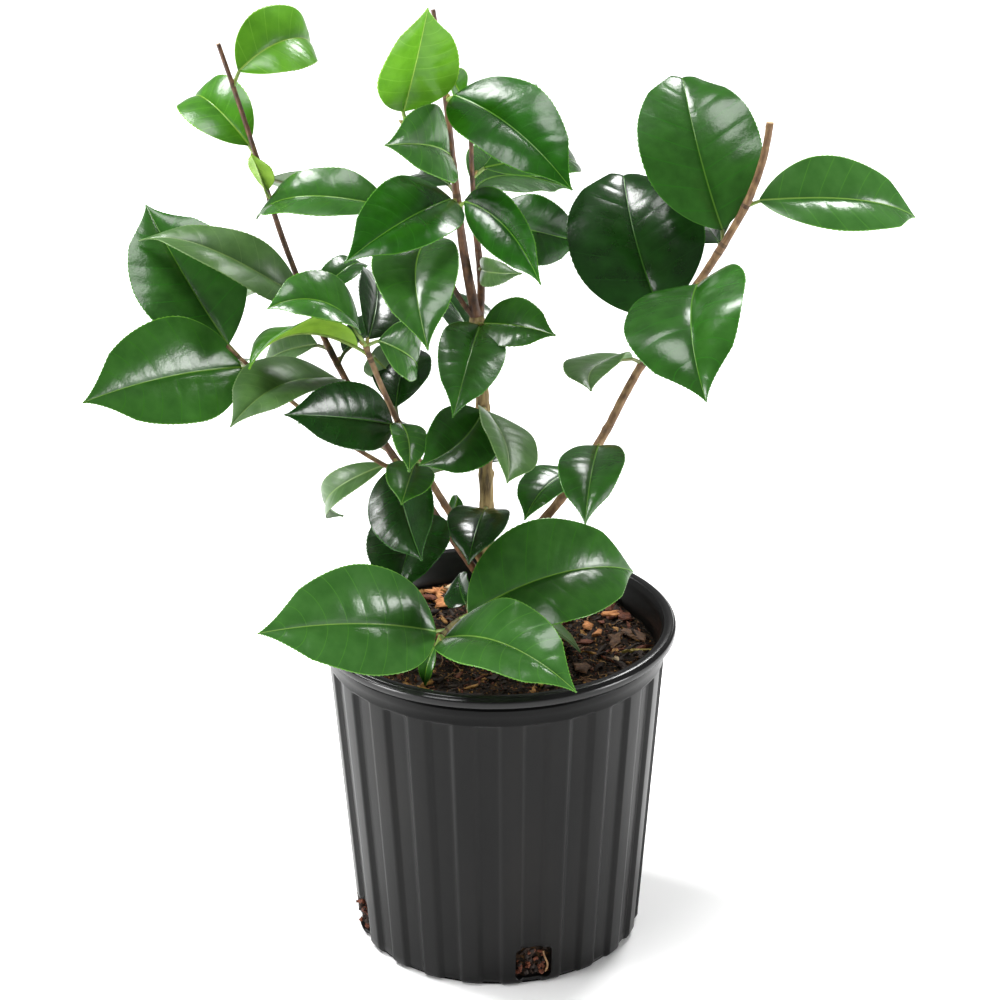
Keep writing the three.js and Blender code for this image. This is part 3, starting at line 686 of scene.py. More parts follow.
def add_leaf(shape, stem, leaf, number):
    """A leaf with its petiole, midrib, veins, toothed edge and puckered surface."""
    place = leaf_frame(stem, leaf)
    fine = np.linspace(0, 1, MIDLINE_SAMPLES)
    mids = (fine[1:] + fine[:-1]) / 2
    steps = blade_turn(place, leaf, mids)[0] * (leaf.length / (MIDLINE_SAMPLES - 1))
    line = np.vstack([place["base"], place["base"] + np.cumsum(steps, axis=0)])
    tangents, normals = blade_turn(place, leaf, fine)

    rows, bands, veins = leaf_rows(leaf.length)
    x = leaf_columns(leaf, rows)
    size = np.abs(x)
    s = rows[:, None]
    u = np.minimum(s + HERRING * s * (1 - s) * size**HERRING_EASING, 1)
    half = np.maximum(half_width(leaf, u), PETIOLE_WIDTH / 2 * way_along(s, PETIOLE_BLEND, 0))
    fold = radians(LEAF_FOLD) * (1 - FOLD_EASING * u)
    lift = leaf_lift(leaf, rows, veins, x, u, half, fold, np.random.default_rng(number))
    outward = half * np.cos(fold) * x
    toothed = way_along(rows, TOOTHLESS_BELOW, TOOTHED_FROM) * (rows < TOOTHLESS_ABOVE)
    tooth = TOOTH * (np.arange(len(rows)) % 2) * toothed
    outward[:, 0] -= tooth
    outward[:, -1] += tooth

    def at(values):
        return np.stack([np.interp(u, fine, values[:, k]) for k in range(3)], axis=-1)

    normal = at(normals)
    across = at(np.cross(tangents, normals))
    top = at(line) + across * outward[..., None] + normal * lift[..., None]
    thickness = BLADE_THICKNESS[0] + (BLADE_THICKNESS[1] - BLADE_THICKNESS[0]) * size
    under = top - normal * thickness[..., None]

    count, columns = x.shape
    total = count * columns
    upper = grid_faces(count, columns)
    lower = upper[:, ::-1] + total
    grid = np.arange(total).reshape(count, columns)
    loop = np.concatenate([grid[0, :-1], grid[:-1, -1], grid[-1, :0:-1], grid[:0:-1, 0]])
    after = np.roll(loop, -1)
    rim = np.stack([loop, loop + total, after + total, after], axis=1)
    plain, vein, rib, edge = [f"leaf_{leaf.tone}{part}" for part in ("", "_vein", "_rib", "_edge")]
    kinds = []
    for is_vein in bands:
        row = [vein if is_vein else plain] * (columns - 1)
        row[0] = row[-1] = edge
        row[columns // 2 - 1] = row[columns // 2] = rib
        kinds += row
    under_kind = "leaf_under_young" if leaf.tone in YOUNG_TONES else "leaf_under"
    kinds += [under_kind] * len(lower) + [edge] * len(rim)
    points = np.vstack([top.reshape(-1, 3), under.reshape(-1, 3)])
    shape.add(points, np.concatenate([upper, lower, rim]), kinds)
    add_stalk(shape, place, leaf, line, normals)


def add_stalk(shape, place, leaf, line, normals):
    """The petiole, running on as a tapering ridge under the midrib."""
    way = place["base"] - place["root"]
    reach = np.linalg.norm(way)
    bare = np.linspace(0, 1, max(4, round(reach)), endpoint=False)
    picks = np.arange(0, int(RIDGE_REACH * MIDLINE_SAMPLES), RIDGE_STEP)
    width = min(PETIOLE_WIDTH, 0.05 * leaf.length + 0.3)
    ridge = width / 2 * (1 - RIDGE_TAPER * picks / picks[-1])
    under = line[picks] - normals[picks] * (0.25 + ridge * 0.75)[:, None]
    start = place["root"] + np.outer(bare, way) + bare[:, None] ** 2 * (under[0] - line[0])
    swell = 1 + STALK_SWELL * np.exp(-bare * reach / 1.5)
    radii = np.concatenate([width / 2 * swell, ridge])
    kind = "stalk_green" if leaf.tone in YOUNG_TONES + ("fresh", "mid", "vivid") else "stalk_dark"
    add_tube(shape, np.vstack([start, under]), np.repeat(radii[:, None], STALK_SIDES, axis=1), kind)


def add_bud(shape, stem, leaf):
    """A pointed scaly bud that leans out of the angle between a leaf and its stem."""
    out = unit(stem_tangent(stem, leaf.share) * 1.3 + direction(leaf.heading))
    root = stem_point(stem, leaf.share) + out * stem_radius(stem, leaf.share) * 0.6
    t = np.linspace(0, 1, 12)
    radii = BUD_WIDTH / 2 * np.sin(pi * np.clip(t * 0.86 + 0.14, 0, 1)) ** 0.8 + 0.05
    scales = 1 + 0.1 * np.sin(turns(BUD_SIDES) * 2 + t[:, None] * 9)
    add_tube(shape, root + np.outer(t * BUD_LENGTH, out), radii[:, None] * scales, "bud_scale")


def node_shares(name):
    """Shares of a stem at which a leaf, a spur or a branch grows from it."""
    masses = MASSES.values()
    spurs = [mass["spur"]["share"] for mass in masses if "spur" in mass and mass["spur"]["on"] == name]
    leaves = [leaf.share for mass in masses if mass.get("stem") == name for leaf in mass["leaves"]]
    return spurs + leaves + [stem["share"] for stem in STEMS.values() if stem.get("on") == name]


def bark_relief(name, stem, shares, angle):
    """Factor on the radius from swollen nodes, leaf scars, ridges and the collar at the base."""
    length = stem["length"]
    places = shares * length
    factor = np.ones((len(shares), len(angle)))
    for share in node_shares(name):
        factor += NODE_SWELL * np.exp(-(((shares - share) * length / 2) ** 2))[:, None]
    draw = np.random.default_rng(sum(map(ord, name)))
    place = draw.uniform(*NODE_SPACING)
    turn = draw.uniform(0, 2 * pi)
    while place < length:
        near = np.exp(-(((places - place) / 1.3) ** 2))[:, None]
        apart = (angle - turn + pi) % (2 * pi) - pi
        factor += near * (SCAR_SWELL[0] + SCAR_SWELL[1] * np.exp(-((apart / SCAR_ANGLE) ** 2)))
        place += draw.uniform(*NODE_SPACING)
        turn += radians(SCAR_TURN)
    if "on" in stem:
        factor += COLLAR_SWELL * np.exp(-places / 3)[:, None]
    spots = np.stack(np.broadcast_arrays(places[:, None] / 5, np.cos(angle), np.sin(angle)), axis=-1)
    factor += 0.025 * waviness(spots * 3, len(name), 2.2)
    factor += 0.03 * waviness(spots * np.array([1.5, 6, 6]), len(name) + 7, 2)
    return factor


def add_stem(shape, name, low, high):
    """A stretch of a stem with its bark."""
    stem = mass_stem(MASSES[name]) if name in MASSES else STEMS[name]
    shares = np.linspace(low, high, max(6, round((high - low) * stem["length"] / BARK_STEP)))
    blur = WALK_STEP * 0.8 / stem["length"]
    points = np.mean([[stem_point(stem, s + d) for s in shares] for d in (-blur, 0, blur)], axis=0)
    points[0] = stem_point(stem, low)
    points[-1] = stem_point(stem, high)
    radii = np.array([stem_radius(stem, s) for s in shares])[:, None]
    radii = radii * bark_relief(name, stem, shares, turns(BARK_SIDES))
    kind = BARK_KINDS.get(name, "bark_red")
    nodes = np.array(node_shares(name) or [-1])
    near = np.abs(shares[:-1, None] - nodes).min(axis=1) * stem["length"] < NODE_REACH
    ring_kinds = ["bark_node" if is_near and name != "trunk" else kind for is_near in near]
    end_kind = "cut_wood" if name in CUT_STEMS and high == 1 else kind
    add_tube(shape, points, radii, kind, end_kind, ring_kinds)


# Materials

# Leaf tones: roughness, blade from its darker to its lighter shade, midrib, vein and edge
LEAF_TONES = {
    "dark": [0.22, (10, 40, 4), (17, 53, 9), (44, 84, 22), (16, 52, 8), (32, 72, 18)],
    "deep": [0.23, (30, 70, 16), (40, 85, 24), (76, 122, 38), (34, 90, 16), (56, 110, 26)],
    # The dull tone is partly the leaves' duller colour and partly painted sheen: its grey-green shades stand
    # for the whitish gloss on them
    "dull": [0.34, (56, 86, 42), (70, 102, 52), (110, 136, 78), (76, 106, 56), (94, 124, 68)],
    "mid": [0.23, (36, 77, 22), (47, 92, 30), (92, 136, 42), (43, 95, 19), (74, 124, 34)],
    "vivid": [0.24, (18, 66, 0), (26, 81, 4), (78, 130, 34), (28, 84, 7), (62, 118, 24)],
    "fresh": [0.21, (45, 88, 32), (56, 101, 41), (114, 154, 66), (61, 113, 36), (90, 142, 52)],
    "young": [0.28, (72, 128, 22), (88, 148, 31), (142, 180, 68), (96, 152, 40), (122, 172, 54)],
    "sapling": [0.28, (44, 94, 8), (58, 114, 16), (112, 154, 44), (66, 120, 24), (96, 148, 32)],
    # The bright tone is painted light: a lighter copy of the young tone, for a leaf turned away from the
    # lamps
    "bright": [0.28, (84, 144, 26), (104, 164, 40), (152, 192, 78), (112, 168, 50), (136, 188, 64)],
    "bud": [0.36, (102, 142, 20), (130, 172, 34), (156, 190, 62), (130, 172, 40), (148, 188, 50)],
}
YOUNG_TONES = ("young", "sapling", "bright", "bud")
LEAF_MOTTLE = 8
LEAF_SPECULAR = 0.34
LEAF_BUMPS = [(8, 0.16), (2.6, 0.07), (1.2, 0.035)]

# Other kinds of surface: colours, size of the mottling, roughness, sizes and heights of the bumps,
# specular level, stretch upwards and range of roughness
CHIP_BUMPS = [(0.8, 0.4)]
PALE_BUMPS = [(0.8, 0.3)]
STALK_BUMPS = [(0.8, 0.1)]
TWIG_BUMPS = [(1.1, 0.2), (0.4, 0.1)]
SURFACES = {
    "leaf_under": ([(96, 124, 84), (112, 140, 98)], 6, 0.55, [(1.5, 0.1)]),
    "leaf_under_young": ([(112, 152, 40), (132, 172, 52)], 6, 0.5, [(1.5, 0.1)]),
    "stalk_green": ([(104, 130, 52), (132, 156, 70)], 3, 0.4, STALK_BUMPS),
    "stalk_dark": ([(70, 82, 34), (98, 104, 46)], 3, 0.45, STALK_BUMPS),
    "bark_grey": (
        [(72, 58, 32), (122, 102, 60), (152, 132, 88)], 2.2, 0.75, [(1.1, 0.35), (0.4, 0.12)], 0.5, 0.22),
    "bark_tan": ([(82, 57, 33), (110, 81, 49), (136, 108, 72)], 3, 0.6, TWIG_BUMPS, 0.5, 0.6),
    "bark_red": ([(52, 31, 17), (82, 50, 27), (112, 74, 42)], 2.6, 0.55, TWIG_BUMPS, 0.5, 0.6),
    "bark_green": ([(84, 82, 38), (120, 108, 60)], 2.4, 0.55, [(1.1, 0.2)], 0.5, 0.4),
    "bark_node": ([(58, 40, 23), (88, 64, 39)], 1.4, 0.75, [(0.7, 0.25)]),
    "cut_wood": ([(176, 140, 100), (206, 176, 136)], 1, 0.8, [(0.5, 0.2)]),
    "bud_scale": ([(112, 118, 48), (146, 120, 60)], 1.4, 0.5, [(0.6, 0.1)]),
    "pot_plastic": (
        [(7, 7, 7), (11, 11, 11), (16, 15, 14)], 26, 0.34, [(1.2, 0.02), (14, 0.15)],
        0.18, 0.35, (0.26, 0.4)),
    # The collar band is painted shade: a darker, less glossy copy of the pot plastic
    "pot_collar": ([(7, 7, 7), (12, 12, 12)], 20, 0.32, [(1.2, 0.02), (14, 0.1)], 0.1),
    "pot_lip": ([(9, 9, 9), (14, 14, 14)], 20, 0.26, [(1.2, 0.02), (10, 0.08)], 0.33),
    "pot_inside": ([(8, 8, 8), (14, 13, 12)], 12, 0.34, [(1.4, 0.03)], 0.3),
    "mix": ([(9, 6, 3), (25, 16, 8), (66, 44, 21)], 1.6, 0.95, [(2.2, 1.2), (0.7, 0.5)], 0.2),
    "chip_dark": ([(22, 13, 7), (46, 28, 15)], 2, 0.85, CHIP_BUMPS),
    "chip_red": ([(70, 30, 14), (110, 56, 28)], 2, 0.8, CHIP_BUMPS),
    "chip_mauve": ([(58, 37, 21), (108, 74, 46)], 2.4, 0.8, CHIP_BUMPS),
    "chip_ochre": ([(112, 76, 34), (172, 126, 66)], 2, 0.85, CHIP_BUMPS),
    "chip_tan": ([(146, 86, 40), (196, 134, 80)], 2.2, 0.8, CHIP_BUMPS),
    "chip_pale": ([(196, 168, 128), (222, 202, 170)], 2, 0.8, PALE_BUMPS),
    "chip_olive": ([(150, 132, 62), (182, 160, 88)], 2, 0.8, PALE_BUMPS),
    "rootlet": ([(110, 80, 50), (150, 116, 76)], 2, 0.8, [(0.5, 0.1)]),
}
MOTTLE_DETAIL = 4
BUMP_DETAIL = 3
RAMP_START = 0.32
RAMP_SPAN = 0.36
made_materials = {}


def shade(red, green, blue):
    """A colour from its usual 0 to 255 values."""
    values = [v / 255 for v in (red, green, blue)]
    linear = [v / 12.92 if v <= 0.04045 else ((v + 0.055) / 1.055) ** 2.4 for v in values]
    return (*linear, 1)


def new_surface(name):
    """A new material, with the inputs of its surface."""
    made = bpy.data.materials.new(name)
    made.use_nodes = True
    return made, made.node_tree.nodes["Principled BSDF"].inputs


def mottled(name, colours, size, rough, bumps, specular=0.5, stretch=1, rough_range=None):
    """Material whose colour drifts between a few near shades, with a fine relief. Sizes are in mm."""
    made, surface = new_surface(name)
    nodes = made.node_tree.nodes
    link = made.node_tree.links.new
    surface["Roughness"].default_value = rough
    surface["Specular IOR Level"].default_value = specular
    mapping = nodes.new("ShaderNodeMapping")
    mapping.inputs["Scale"].default_value = (1, 1, stretch)
    link(nodes.new("ShaderNodeTexCoord").outputs["Object"], mapping.inputs["Vector"])

    def noise(wide, detail):
        """Output of uneven values that change over about the given width."""
        node = nodes.new("ShaderNodeTexNoise")
        node.inputs["Scale"].default_value = 1 / (wide * MM)
        node.inputs["Detail"].default_value = detail
        link(mapping.outputs["Vector"], node.inputs["Vector"])
        return node.outputs["Fac"]

    drift = noise(size, MOTTLE_DETAIL)
    ramp = nodes.new("ShaderNodeValToRGB")
    stops = ramp.color_ramp.elements
    while len(stops) < len(colours):
        stops.new(0.5)
    for i, colour in enumerate(colours):
        stops[i].position = RAMP_START + RAMP_SPAN * i / (len(colours) - 1)
        stops[i].color = shade(*colour)
    link(drift, ramp.inputs["Fac"])
    link(ramp.outputs["Color"], surface["Base Color"])
    if rough_range:
        span = nodes.new("ShaderNodeMapRange")
        span.inputs["To Min"].default_value = rough_range[0]
        span.inputs["To Max"].default_value = rough_range[1]
        link(drift, span.inputs["Value"])
        link(span.outputs["Result"], surface["Roughness"])
    normal = None
    for wide, height in bumps:
        bump = nodes.new("ShaderNodeBump")
        bump.inputs["Strength"].default_value = 1
        bump.inputs["Distance"].default_value = height * MM
        link(noise(wide, BUMP_DETAIL), bump.inputs["Height"])
        if normal:
            link(normal, bump.inputs["Normal"])
        normal = bump.outputs["Normal"]
    link(normal, surface["Normal"])
    return made


def material(kind):
    """The material of a kind of surface, made when it is first used."""
    if kind not in made_materials:
        if kind in SURFACES:
            facts = SURFACES[kind]
        else:
            _, tone, *part = kind.split("_")
            rough, *blade, rib, vein, edge = LEAF_TONES[tone]
            pick = {"rib": [rib, rib], "vein": [vein, vein], "edge": [edge, edge]}
            colours = pick[part[0]] if part else blade
            facts = (colours, LEAF_MOTTLE, rough, LEAF_BUMPS, LEAF_SPECULAR)
        made_materials[kind] = mottled(kind, *facts)
    return made_materials[kind]


# Foliage and bark pieces

number = 0
for name, mass in MASSES.items():
    foliage = Shape()
    for leaf in mass["leaves"]:
        number += 1
        add_leaf(foliage, mass_stem(mass), leaf, number)
        if leaf.length > BUDLESS_BELOW:
            add_bud(foliage, mass_stem(mass), leaf)
    make_piece("foliage_" + name, foliage, name)
    twig = Shape()
    if "spur" in mass:
        add_stem(twig, name, 0, 1)
    else:
        add_stem(twig, mass["stem"], mass["from"], mass["to"])
    make_piece("twig_" + name, twig, name)

for name, (stem_name, low, high) in BOUGHS.items():
    bark = Shape()
    add_stem(bark, stem_name, low, high)
    make_piece("bark_" + name, bark, name)


# Pot

# Lip with its stepped edge: how far in from the rim and down from the top
LIP_EDGE = [
    (0.5, LIP_HEIGHT - 0.1), (0, LIP_HEIGHT - 0.5), (0, 1.7), (0.3, 1.3), (0.9, 1.1), (1.2, 0.4), (1.7, 0),
    (LIP_WIDTH - 0.6, 0), (LIP_WIDTH, 0.4), (LIP_WIDTH + 0.5, LEDGE_DROP - 0.4), (LIP_WIDTH + 1, LEDGE_DROP),
]
UNDER_LIP = POT_HEIGHT - LIP_HEIGHT
FLUTE_TOP = UNDER_LIP - COLLAR_HEIGHT
INNER = FLUTE_DEPTH + POT_WALL
CUTTER_REACH = 8
CORNER_POINTS = 6


def flute_inset(z, angle):
    """How far the wall lies inside its ribs, at heights z and angles in degrees."""
    pitch = 360 / FLUTES
    place = (angle - FLUTE_PHASE + pitch / 2) % pitch
    beyond = pitch / 4 - np.abs(place - pitch / 2)
    soft = np.clip(beyond / FLUTE_SOFTNESS + 0.5, 0, 1)
    soft = soft * soft * (3 - 2 * soft)
    fade = way_along(z, FLUTE_TOP, FLUTE_TOP - FLUTE_TOP_REACH)
    return FLUTE_DEPTH * soft * np.sqrt(1 - (1 - fade) ** 2)


def pot_outline():
    """Radius, height and whether it is fluted, from the middle of the underside to the inside floor."""
    ledge = POT_HEIGHT - LEDGE_DROP
    foot = BASE_RADIUS - BASE_ROUNDING

    def outside(z, out=0, at=None):
        return (wall_radius(z if at is None else at) + out, z, 0)

    def inside(z, out=0, at=None):
        return outside(z, out - INNER, at)

    rows = [(0.05, 0, 0), (30, 0, 0), (55, 0, 0), (foot, 0, 0)]
    for k in range(1, 5):
        turn = pi / 2 * k / 4
        bulge = (BASE_ROUNDING + 0.3) * sin(turn) - 0.3 * (k < 4)
        rows.append((foot + bulge, BASE_ROUNDING * (1 - cos(turn)), 1))
    rows += [(wall_radius(z), z, 1) for z in np.arange(6, FLUTE_TOP - FLUTE_TOP_REACH - 0.5, 4.0)]
    rows += [(wall_radius(z), z, 1) for z in np.linspace(FLUTE_TOP - FLUTE_TOP_REACH, FLUTE_TOP, 7)]
    rows += [
        # Band of the collar
        outside(FLUTE_TOP + 0.8), outside(FLUTE_TOP + 4.2),
        outside(FLUTE_TOP + 4.6, 0.25), outside(UNDER_LIP - 3.4, 0.25),
        # Groove under the lip
        outside(UNDER_LIP - 3, 0.1, UNDER_LIP), outside(UNDER_LIP - 2.7, -1.1, UNDER_LIP),
        outside(UNDER_LIP, -1.1),
    ]
    rows += [(RIM_RADIUS - inward, POT_HEIGHT - down, 0) for inward, down in LIP_EDGE]
    rows += [
        # Inside, with its ledge and two rings
        inside(ledge - 0.3, 0.9, ledge), inside(ledge - 1.2, 0.2, ledge),
        inside(149, 0.3), inside(148.6, -0.1, 148), inside(146), inside(145.6, -0.35, 145.4),
    ]
    rows += [inside(z) for z in (140, 100, 60, 20, POT_FLOOR + 1)]
    rows += [inside(POT_FLOOR, -1), (30, POT_FLOOR, 0), (0.05, POT_FLOOR, 0)]
    return np.array(rows, float)


def add_cutter(shape, heading):
    """Cutter of one drain hole, with rounded corners, through the wall at a heading."""
    middle = (DRAIN_LOW + DRAIN_HIGH) / 2
    tall = (DRAIN_HIGH - DRAIN_LOW) / 2
    outline = []
    for quarter, (sx, sz) in enumerate([(1, 1), (-1, 1), (-1, -1), (1, -1)]):
        for k in range(CORNER_POINTS):
            turn = pi / 2 * (quarter + k / (CORNER_POINTS - 1))
            x = sx * (DRAIN_WIDTH / 2 - DRAIN_CORNER) + DRAIN_CORNER * cos(turn)
            outline.append((x, middle + sz * (tall - DRAIN_CORNER) + DRAIN_CORNER * sin(turn)))
    out = direction(heading)
    side = direction(heading + 90)
    depths = (BASE_RADIUS - CUTTER_REACH, BASE_RADIUS + CUTTER_REACH)
    points = [out * depth + side * x + np.array([0, 0, z]) for depth in depths for x, z in outline]
    shape.add(points, flat_closed(2, len(outline)), "pot_plastic")


def make_pot():
    outline = pot_outline()
    sides = FLUTES * STEPS_PER_FLUTE
    angle = np.arange(sides) / sides * 360
    radius = outline[:, 0:1] - flute_inset(outline[:, 1:2], angle[None]) * outline[:, 2:3]
    turn = np.radians(angle)
    z = np.broadcast_to(outline[:, 1:2], radius.shape)
    points = np.stack([radius * np.cos(turn), radius * np.sin(turn), z], axis=-1).reshape(-1, 3)
    top = np.argmax(outline[:, 1])
    kinds = []
    for k, (far, tall, _) in enumerate(outline[:-1]):
        # The collar band takes a darker copy of the plastic, as painted shade
        kind = "pot_inside" if k > top else "pot_collar" if tall >= FLUTE_TOP else "pot_plastic"
        if tall >= UNDER_LIP - 0.1 and far > RIM_RADIUS - LIP_WIDTH:
            kind = "pot_lip"
        kinds += [kind] * sides
    shape = Shape()
    shape.add(points, flat_closed(len(outline), sides), kinds + ["pot_plastic"] * 2)
    pot = make_piece("nursery_pot", shape, "pot")
    cutters = Shape()
    for k in range(DRAIN_COUNT):
        add_cutter(cutters, DRAIN_HEADING + 360 / DRAIN_COUNT * k)
    cutter = add_object("drain_cutters", make_mesh("drain_cutters", cutters, smooth=False))
    cut = pot.modifiers.new("drains", "BOOLEAN")
    cut.operation = "DIFFERENCE"
    cut.solver = "EXACT"
    cut.object = cutter
    finished = bpy.data.meshes.new_from_object(pot.evaluated_get(bpy.context.evaluated_depsgraph_get()))
    pot.modifiers.clear()
    pot.data = finished
    bpy.data.objects.remove(cutter)


make_pot()


# Potting mix: an uneven heap of fine mix with bark chips, crumbs and rootlets on it

MIX_ROWS = 70
MIX_SIDES = 200
MIX_RADIUS = wall_radius(SOIL_TOP) - INNER
HEAP_WAVES = ((0.9, 3, 26), (0.5, 5, 7), (0.25, 9, 2.5))
EDGE_DROP = 1.2
MIX_LEVELS = (8, 14, 20, 30, 70, 110, 136)
LUMP_DEPTH = 0.25
FLAKE_DETAIL = (5, 9)
FLAKE_WIDTHS = (0.14, 0.6)
FLAKE_TILT = 35
TRUNK_CLEAR = 3
CRUMB_DETAIL = (3, 6)
CHIPS = {"count": 620, "lengths": (2.4, 9.4), "crowding": 2.2, "flatness": 0.16, "detail": FLAKE_DETAIL}
CRUMBS = {"count": 4800, "lengths": (0.7, 2.4), "crowding": 1, "flatness": 0.4, "detail": CRUMB_DETAIL}
CHIP_COLOURS = "dark dark red dark dark ochre dark red dark mauve dark ochre".split()
CLOD_COLOURS = "red dark dark red dark".split()
CHIP_SEED = 41
CLOD_SEED = 8
ROOTLET_SEED = 17
CLODS_PER_HOLE = 60
CLOD_SIZES = (1.2, 3.2)
CLOD_PUSH = (0.3, 2.2)
ROOTLET_COUNT = 36
ROOTLET_POINTS = 14
ROOTLET_STEP = 0.9

# Chips that lie where the photograph shows them: x, y, length, width, heading, colour
PLACED_LIFT = 1.4
PLACED_TILT = 14
PLACED_THICKNESS = 1.7
PLACED_CHIPS = [
    (-31, 68, 13, 8, 40, "tan"),
    (-27, 57, 10, 6, 100, "tan"),
    (-26, 46, 12, 7, 75, "tan"),
    (-22, 63, 9, 5, 10, "pale"),
    (-33, 52, 9, 6, 130, "red"),
    (54, 32, 12, 6, 20, "tan"),
    (47, 38, 9, 4, 60, "tan"),
    (63, 10, 12, 8, 150, "mauve"),
    (55, 5, 10, 6, 70, "mauve"),
    (66, 36, 11, 8, 90, "red"),
    (58, 44, 9, 6, 45, "red"),
    (66, -6, 13, 2.4, 15, "olive"),
    (61, -9, 9, 2, 40, "olive"),
    (38, -27, 12, 8, 95, "mauve"),
    (47, 10, 8, 5, 60, "tan"),
    (43, 20, 7, 4, 120, "tan"),
    (55, -17, 4, 3, 0, "pale"),
    (20, -42, 6, 2.2, 80, "olive"),
    (-12, -52, 10, 6, 20, "dark"),
    (4, -60, 9, 6, 160, "red"),
]


def mix_height(x, y):
    spots = np.stack([x, y], axis=-1)
    heap = sum(height * waviness(spots, seed, size) for height, seed, size in HEAP_WAVES)
    return SOIL_TOP + heap - EDGE_DROP * (np.hypot(x, y) / MIX_RADIUS) ** 6


def add_flake(shape, centre, sizes, heading, tilt, colour, draw, detail=FLAKE_DETAIL):
    """An irregular flake of bark: a flattened ball with a broken outline."""
    rings, sides = detail
    angle = turns(sides)
    rise = (np.linspace(-0.42, 0.42, rings) * pi)[:, None]
    broken = 1 + 0.42 * draw.normal(size=sides).clip(-1.2, 1.2)
    wide = np.cos(rise) ** 0.4
    tall = np.repeat(np.sin(rise), sides, axis=1) + 0.25 * draw.normal(size=(rings, sides))
    local = np.stack([wide * np.cos(angle) * broken, wide * np.sin(angle) * broken, tall], axis=-1)
    local = local.reshape(-1, 3) * np.array(sizes) / 2
    turn = Matrix.Rotation(radians(heading), 3, "Z") @ Matrix.Rotation(radians(tilt), 3, "Y")
    local = local @ np.array(turn).T
    points = np.vstack([local, local[:sides].mean(axis=0), local[-sides:].mean(axis=0)]) + np.array(centre)
    shape.add(points, fan_closed(rings, sides), "chip_" + colour)


def make_mix():
    turn = turns(MIX_SIDES)
    radius = (MIX_RADIUS - CLEAR) * np.linspace(1, 0.001, MIX_ROWS)[:, None]
    x = radius * np.cos(turn)
    y = radius * np.sin(turn)
    top = np.stack([x, y, mix_height(x, y)], axis=-1)
    around = np.stack([np.cos(turn), np.sin(turn), np.zeros(MIX_SIDES)], axis=-1)
    side = []
    for z in (POT_FLOOR + CLEAR, *MIX_LEVELS):
        up = np.array([0, 0, z])
        far = wall_radius(z) - INNER - CLEAR
        lumps = LUMP_DEPTH * np.minimum(waviness(around * far + up, 11, 4), 0)
        side.append(around * (far + lumps)[:, None] + up)
    rows = np.concatenate([np.array(side), top])
    shape = Shape()
    shape.add(rows.reshape(-1, 3), flat_closed(len(rows), MIX_SIDES), "mix")
    make_piece("mix_heap", shape, "potting_mix")


def scatter(shape, draw, count, lengths, crowding, flatness, detail):
    """Flakes strewn over the mix, short ones more often than long ones, clear of the pot and the trunk."""
    for _ in range(count):
        long = lengths[0] + (lengths[1] - lengths[0]) * draw.uniform(0, 1) ** crowding
        away = (MIX_RADIUS - 1 - 0.65 * long) * sqrt(draw.uniform(0, 1))
        turn = draw.uniform(0, 2 * pi)
        x, y = away * cos(turn), away * sin(turn)
        wide = long * draw.uniform(*FLAKE_WIDTHS)
        thick = long * flatness
        if hypot(x - FOOT[0], y - FOOT[1]) < TRUNK_CLEAR + long / 2:
            continue
        colour = CHIP_COLOURS[int(draw.uniform(0, len(CHIP_COLOURS)))]
        spot = (x, y, mix_height(x, y) + thick * draw.uniform(0, 0.5))
        turned = draw.uniform(0, 360), draw.uniform(-FLAKE_TILT, FLAKE_TILT)
        add_flake(shape, spot, (long, wide, thick), *turned, colour, draw, detail)


def make_chips():
    draw = np.random.default_rng(CHIP_SEED)
    chips = Shape()
    for x, y, long, wide, heading, colour in PLACED_CHIPS:
        inward = min(1, (MIX_RADIUS - 1 - 0.6 * long) / hypot(x, y))
        x, y = x * inward, y * inward
        spot = (x, y, mix_height(x, y) + PLACED_LIFT)
        tilt = draw.uniform(-PLACED_TILT, PLACED_TILT)
        add_flake(chips, spot, (long, wide, PLACED_THICKNESS), heading, tilt, colour, draw)
    scatter(chips, draw, **CHIPS)
    make_piece("mix_chips", chips, "potting_mix", smooth=False)
    crumbs = Shape()
    scatter(crumbs, draw, **CRUMBS)
    make_piece("mix_crumbs", crumbs, "potting_mix", smooth=False)


def make_drain_clods():
    """Lumps of mix that bulge in the drain holes, and a little way out of the last one."""
    draw = np.random.default_rng(CLOD_SEED)
    shape = Shape()
    for k in range(DRAIN_COUNT):
        heading = DRAIN_HEADING + 360 / DRAIN_COUNT * k
        push = CLOD_PUSH[k == DRAIN_COUNT - 1]
        for _ in range(CLODS_PER_HOLE):
            across = draw.uniform(-7, 7)
            z = draw.uniform(5, 18.5)
            depth = wall_radius(z) - INNER + draw.uniform(-1.2, 1) + push * (draw.uniform(0, 1) < 0.4)
            colour = CLOD_COLOURS[int(draw.uniform(0, len(CLOD_COLOURS)))]
            size = draw.uniform(*CLOD_SIZES)
            centre = direction(heading) * depth + direction(heading + 90) * across + np.array([0, 0, z])
            turned = draw.uniform(0, 360), draw.uniform(-90, 90)
            add_flake(shape, centre, (size, size * 0.7, size * 0.6), *turned, colour, draw)
    make_piece("drain_clods", shape, "potting_mix", smooth=False)


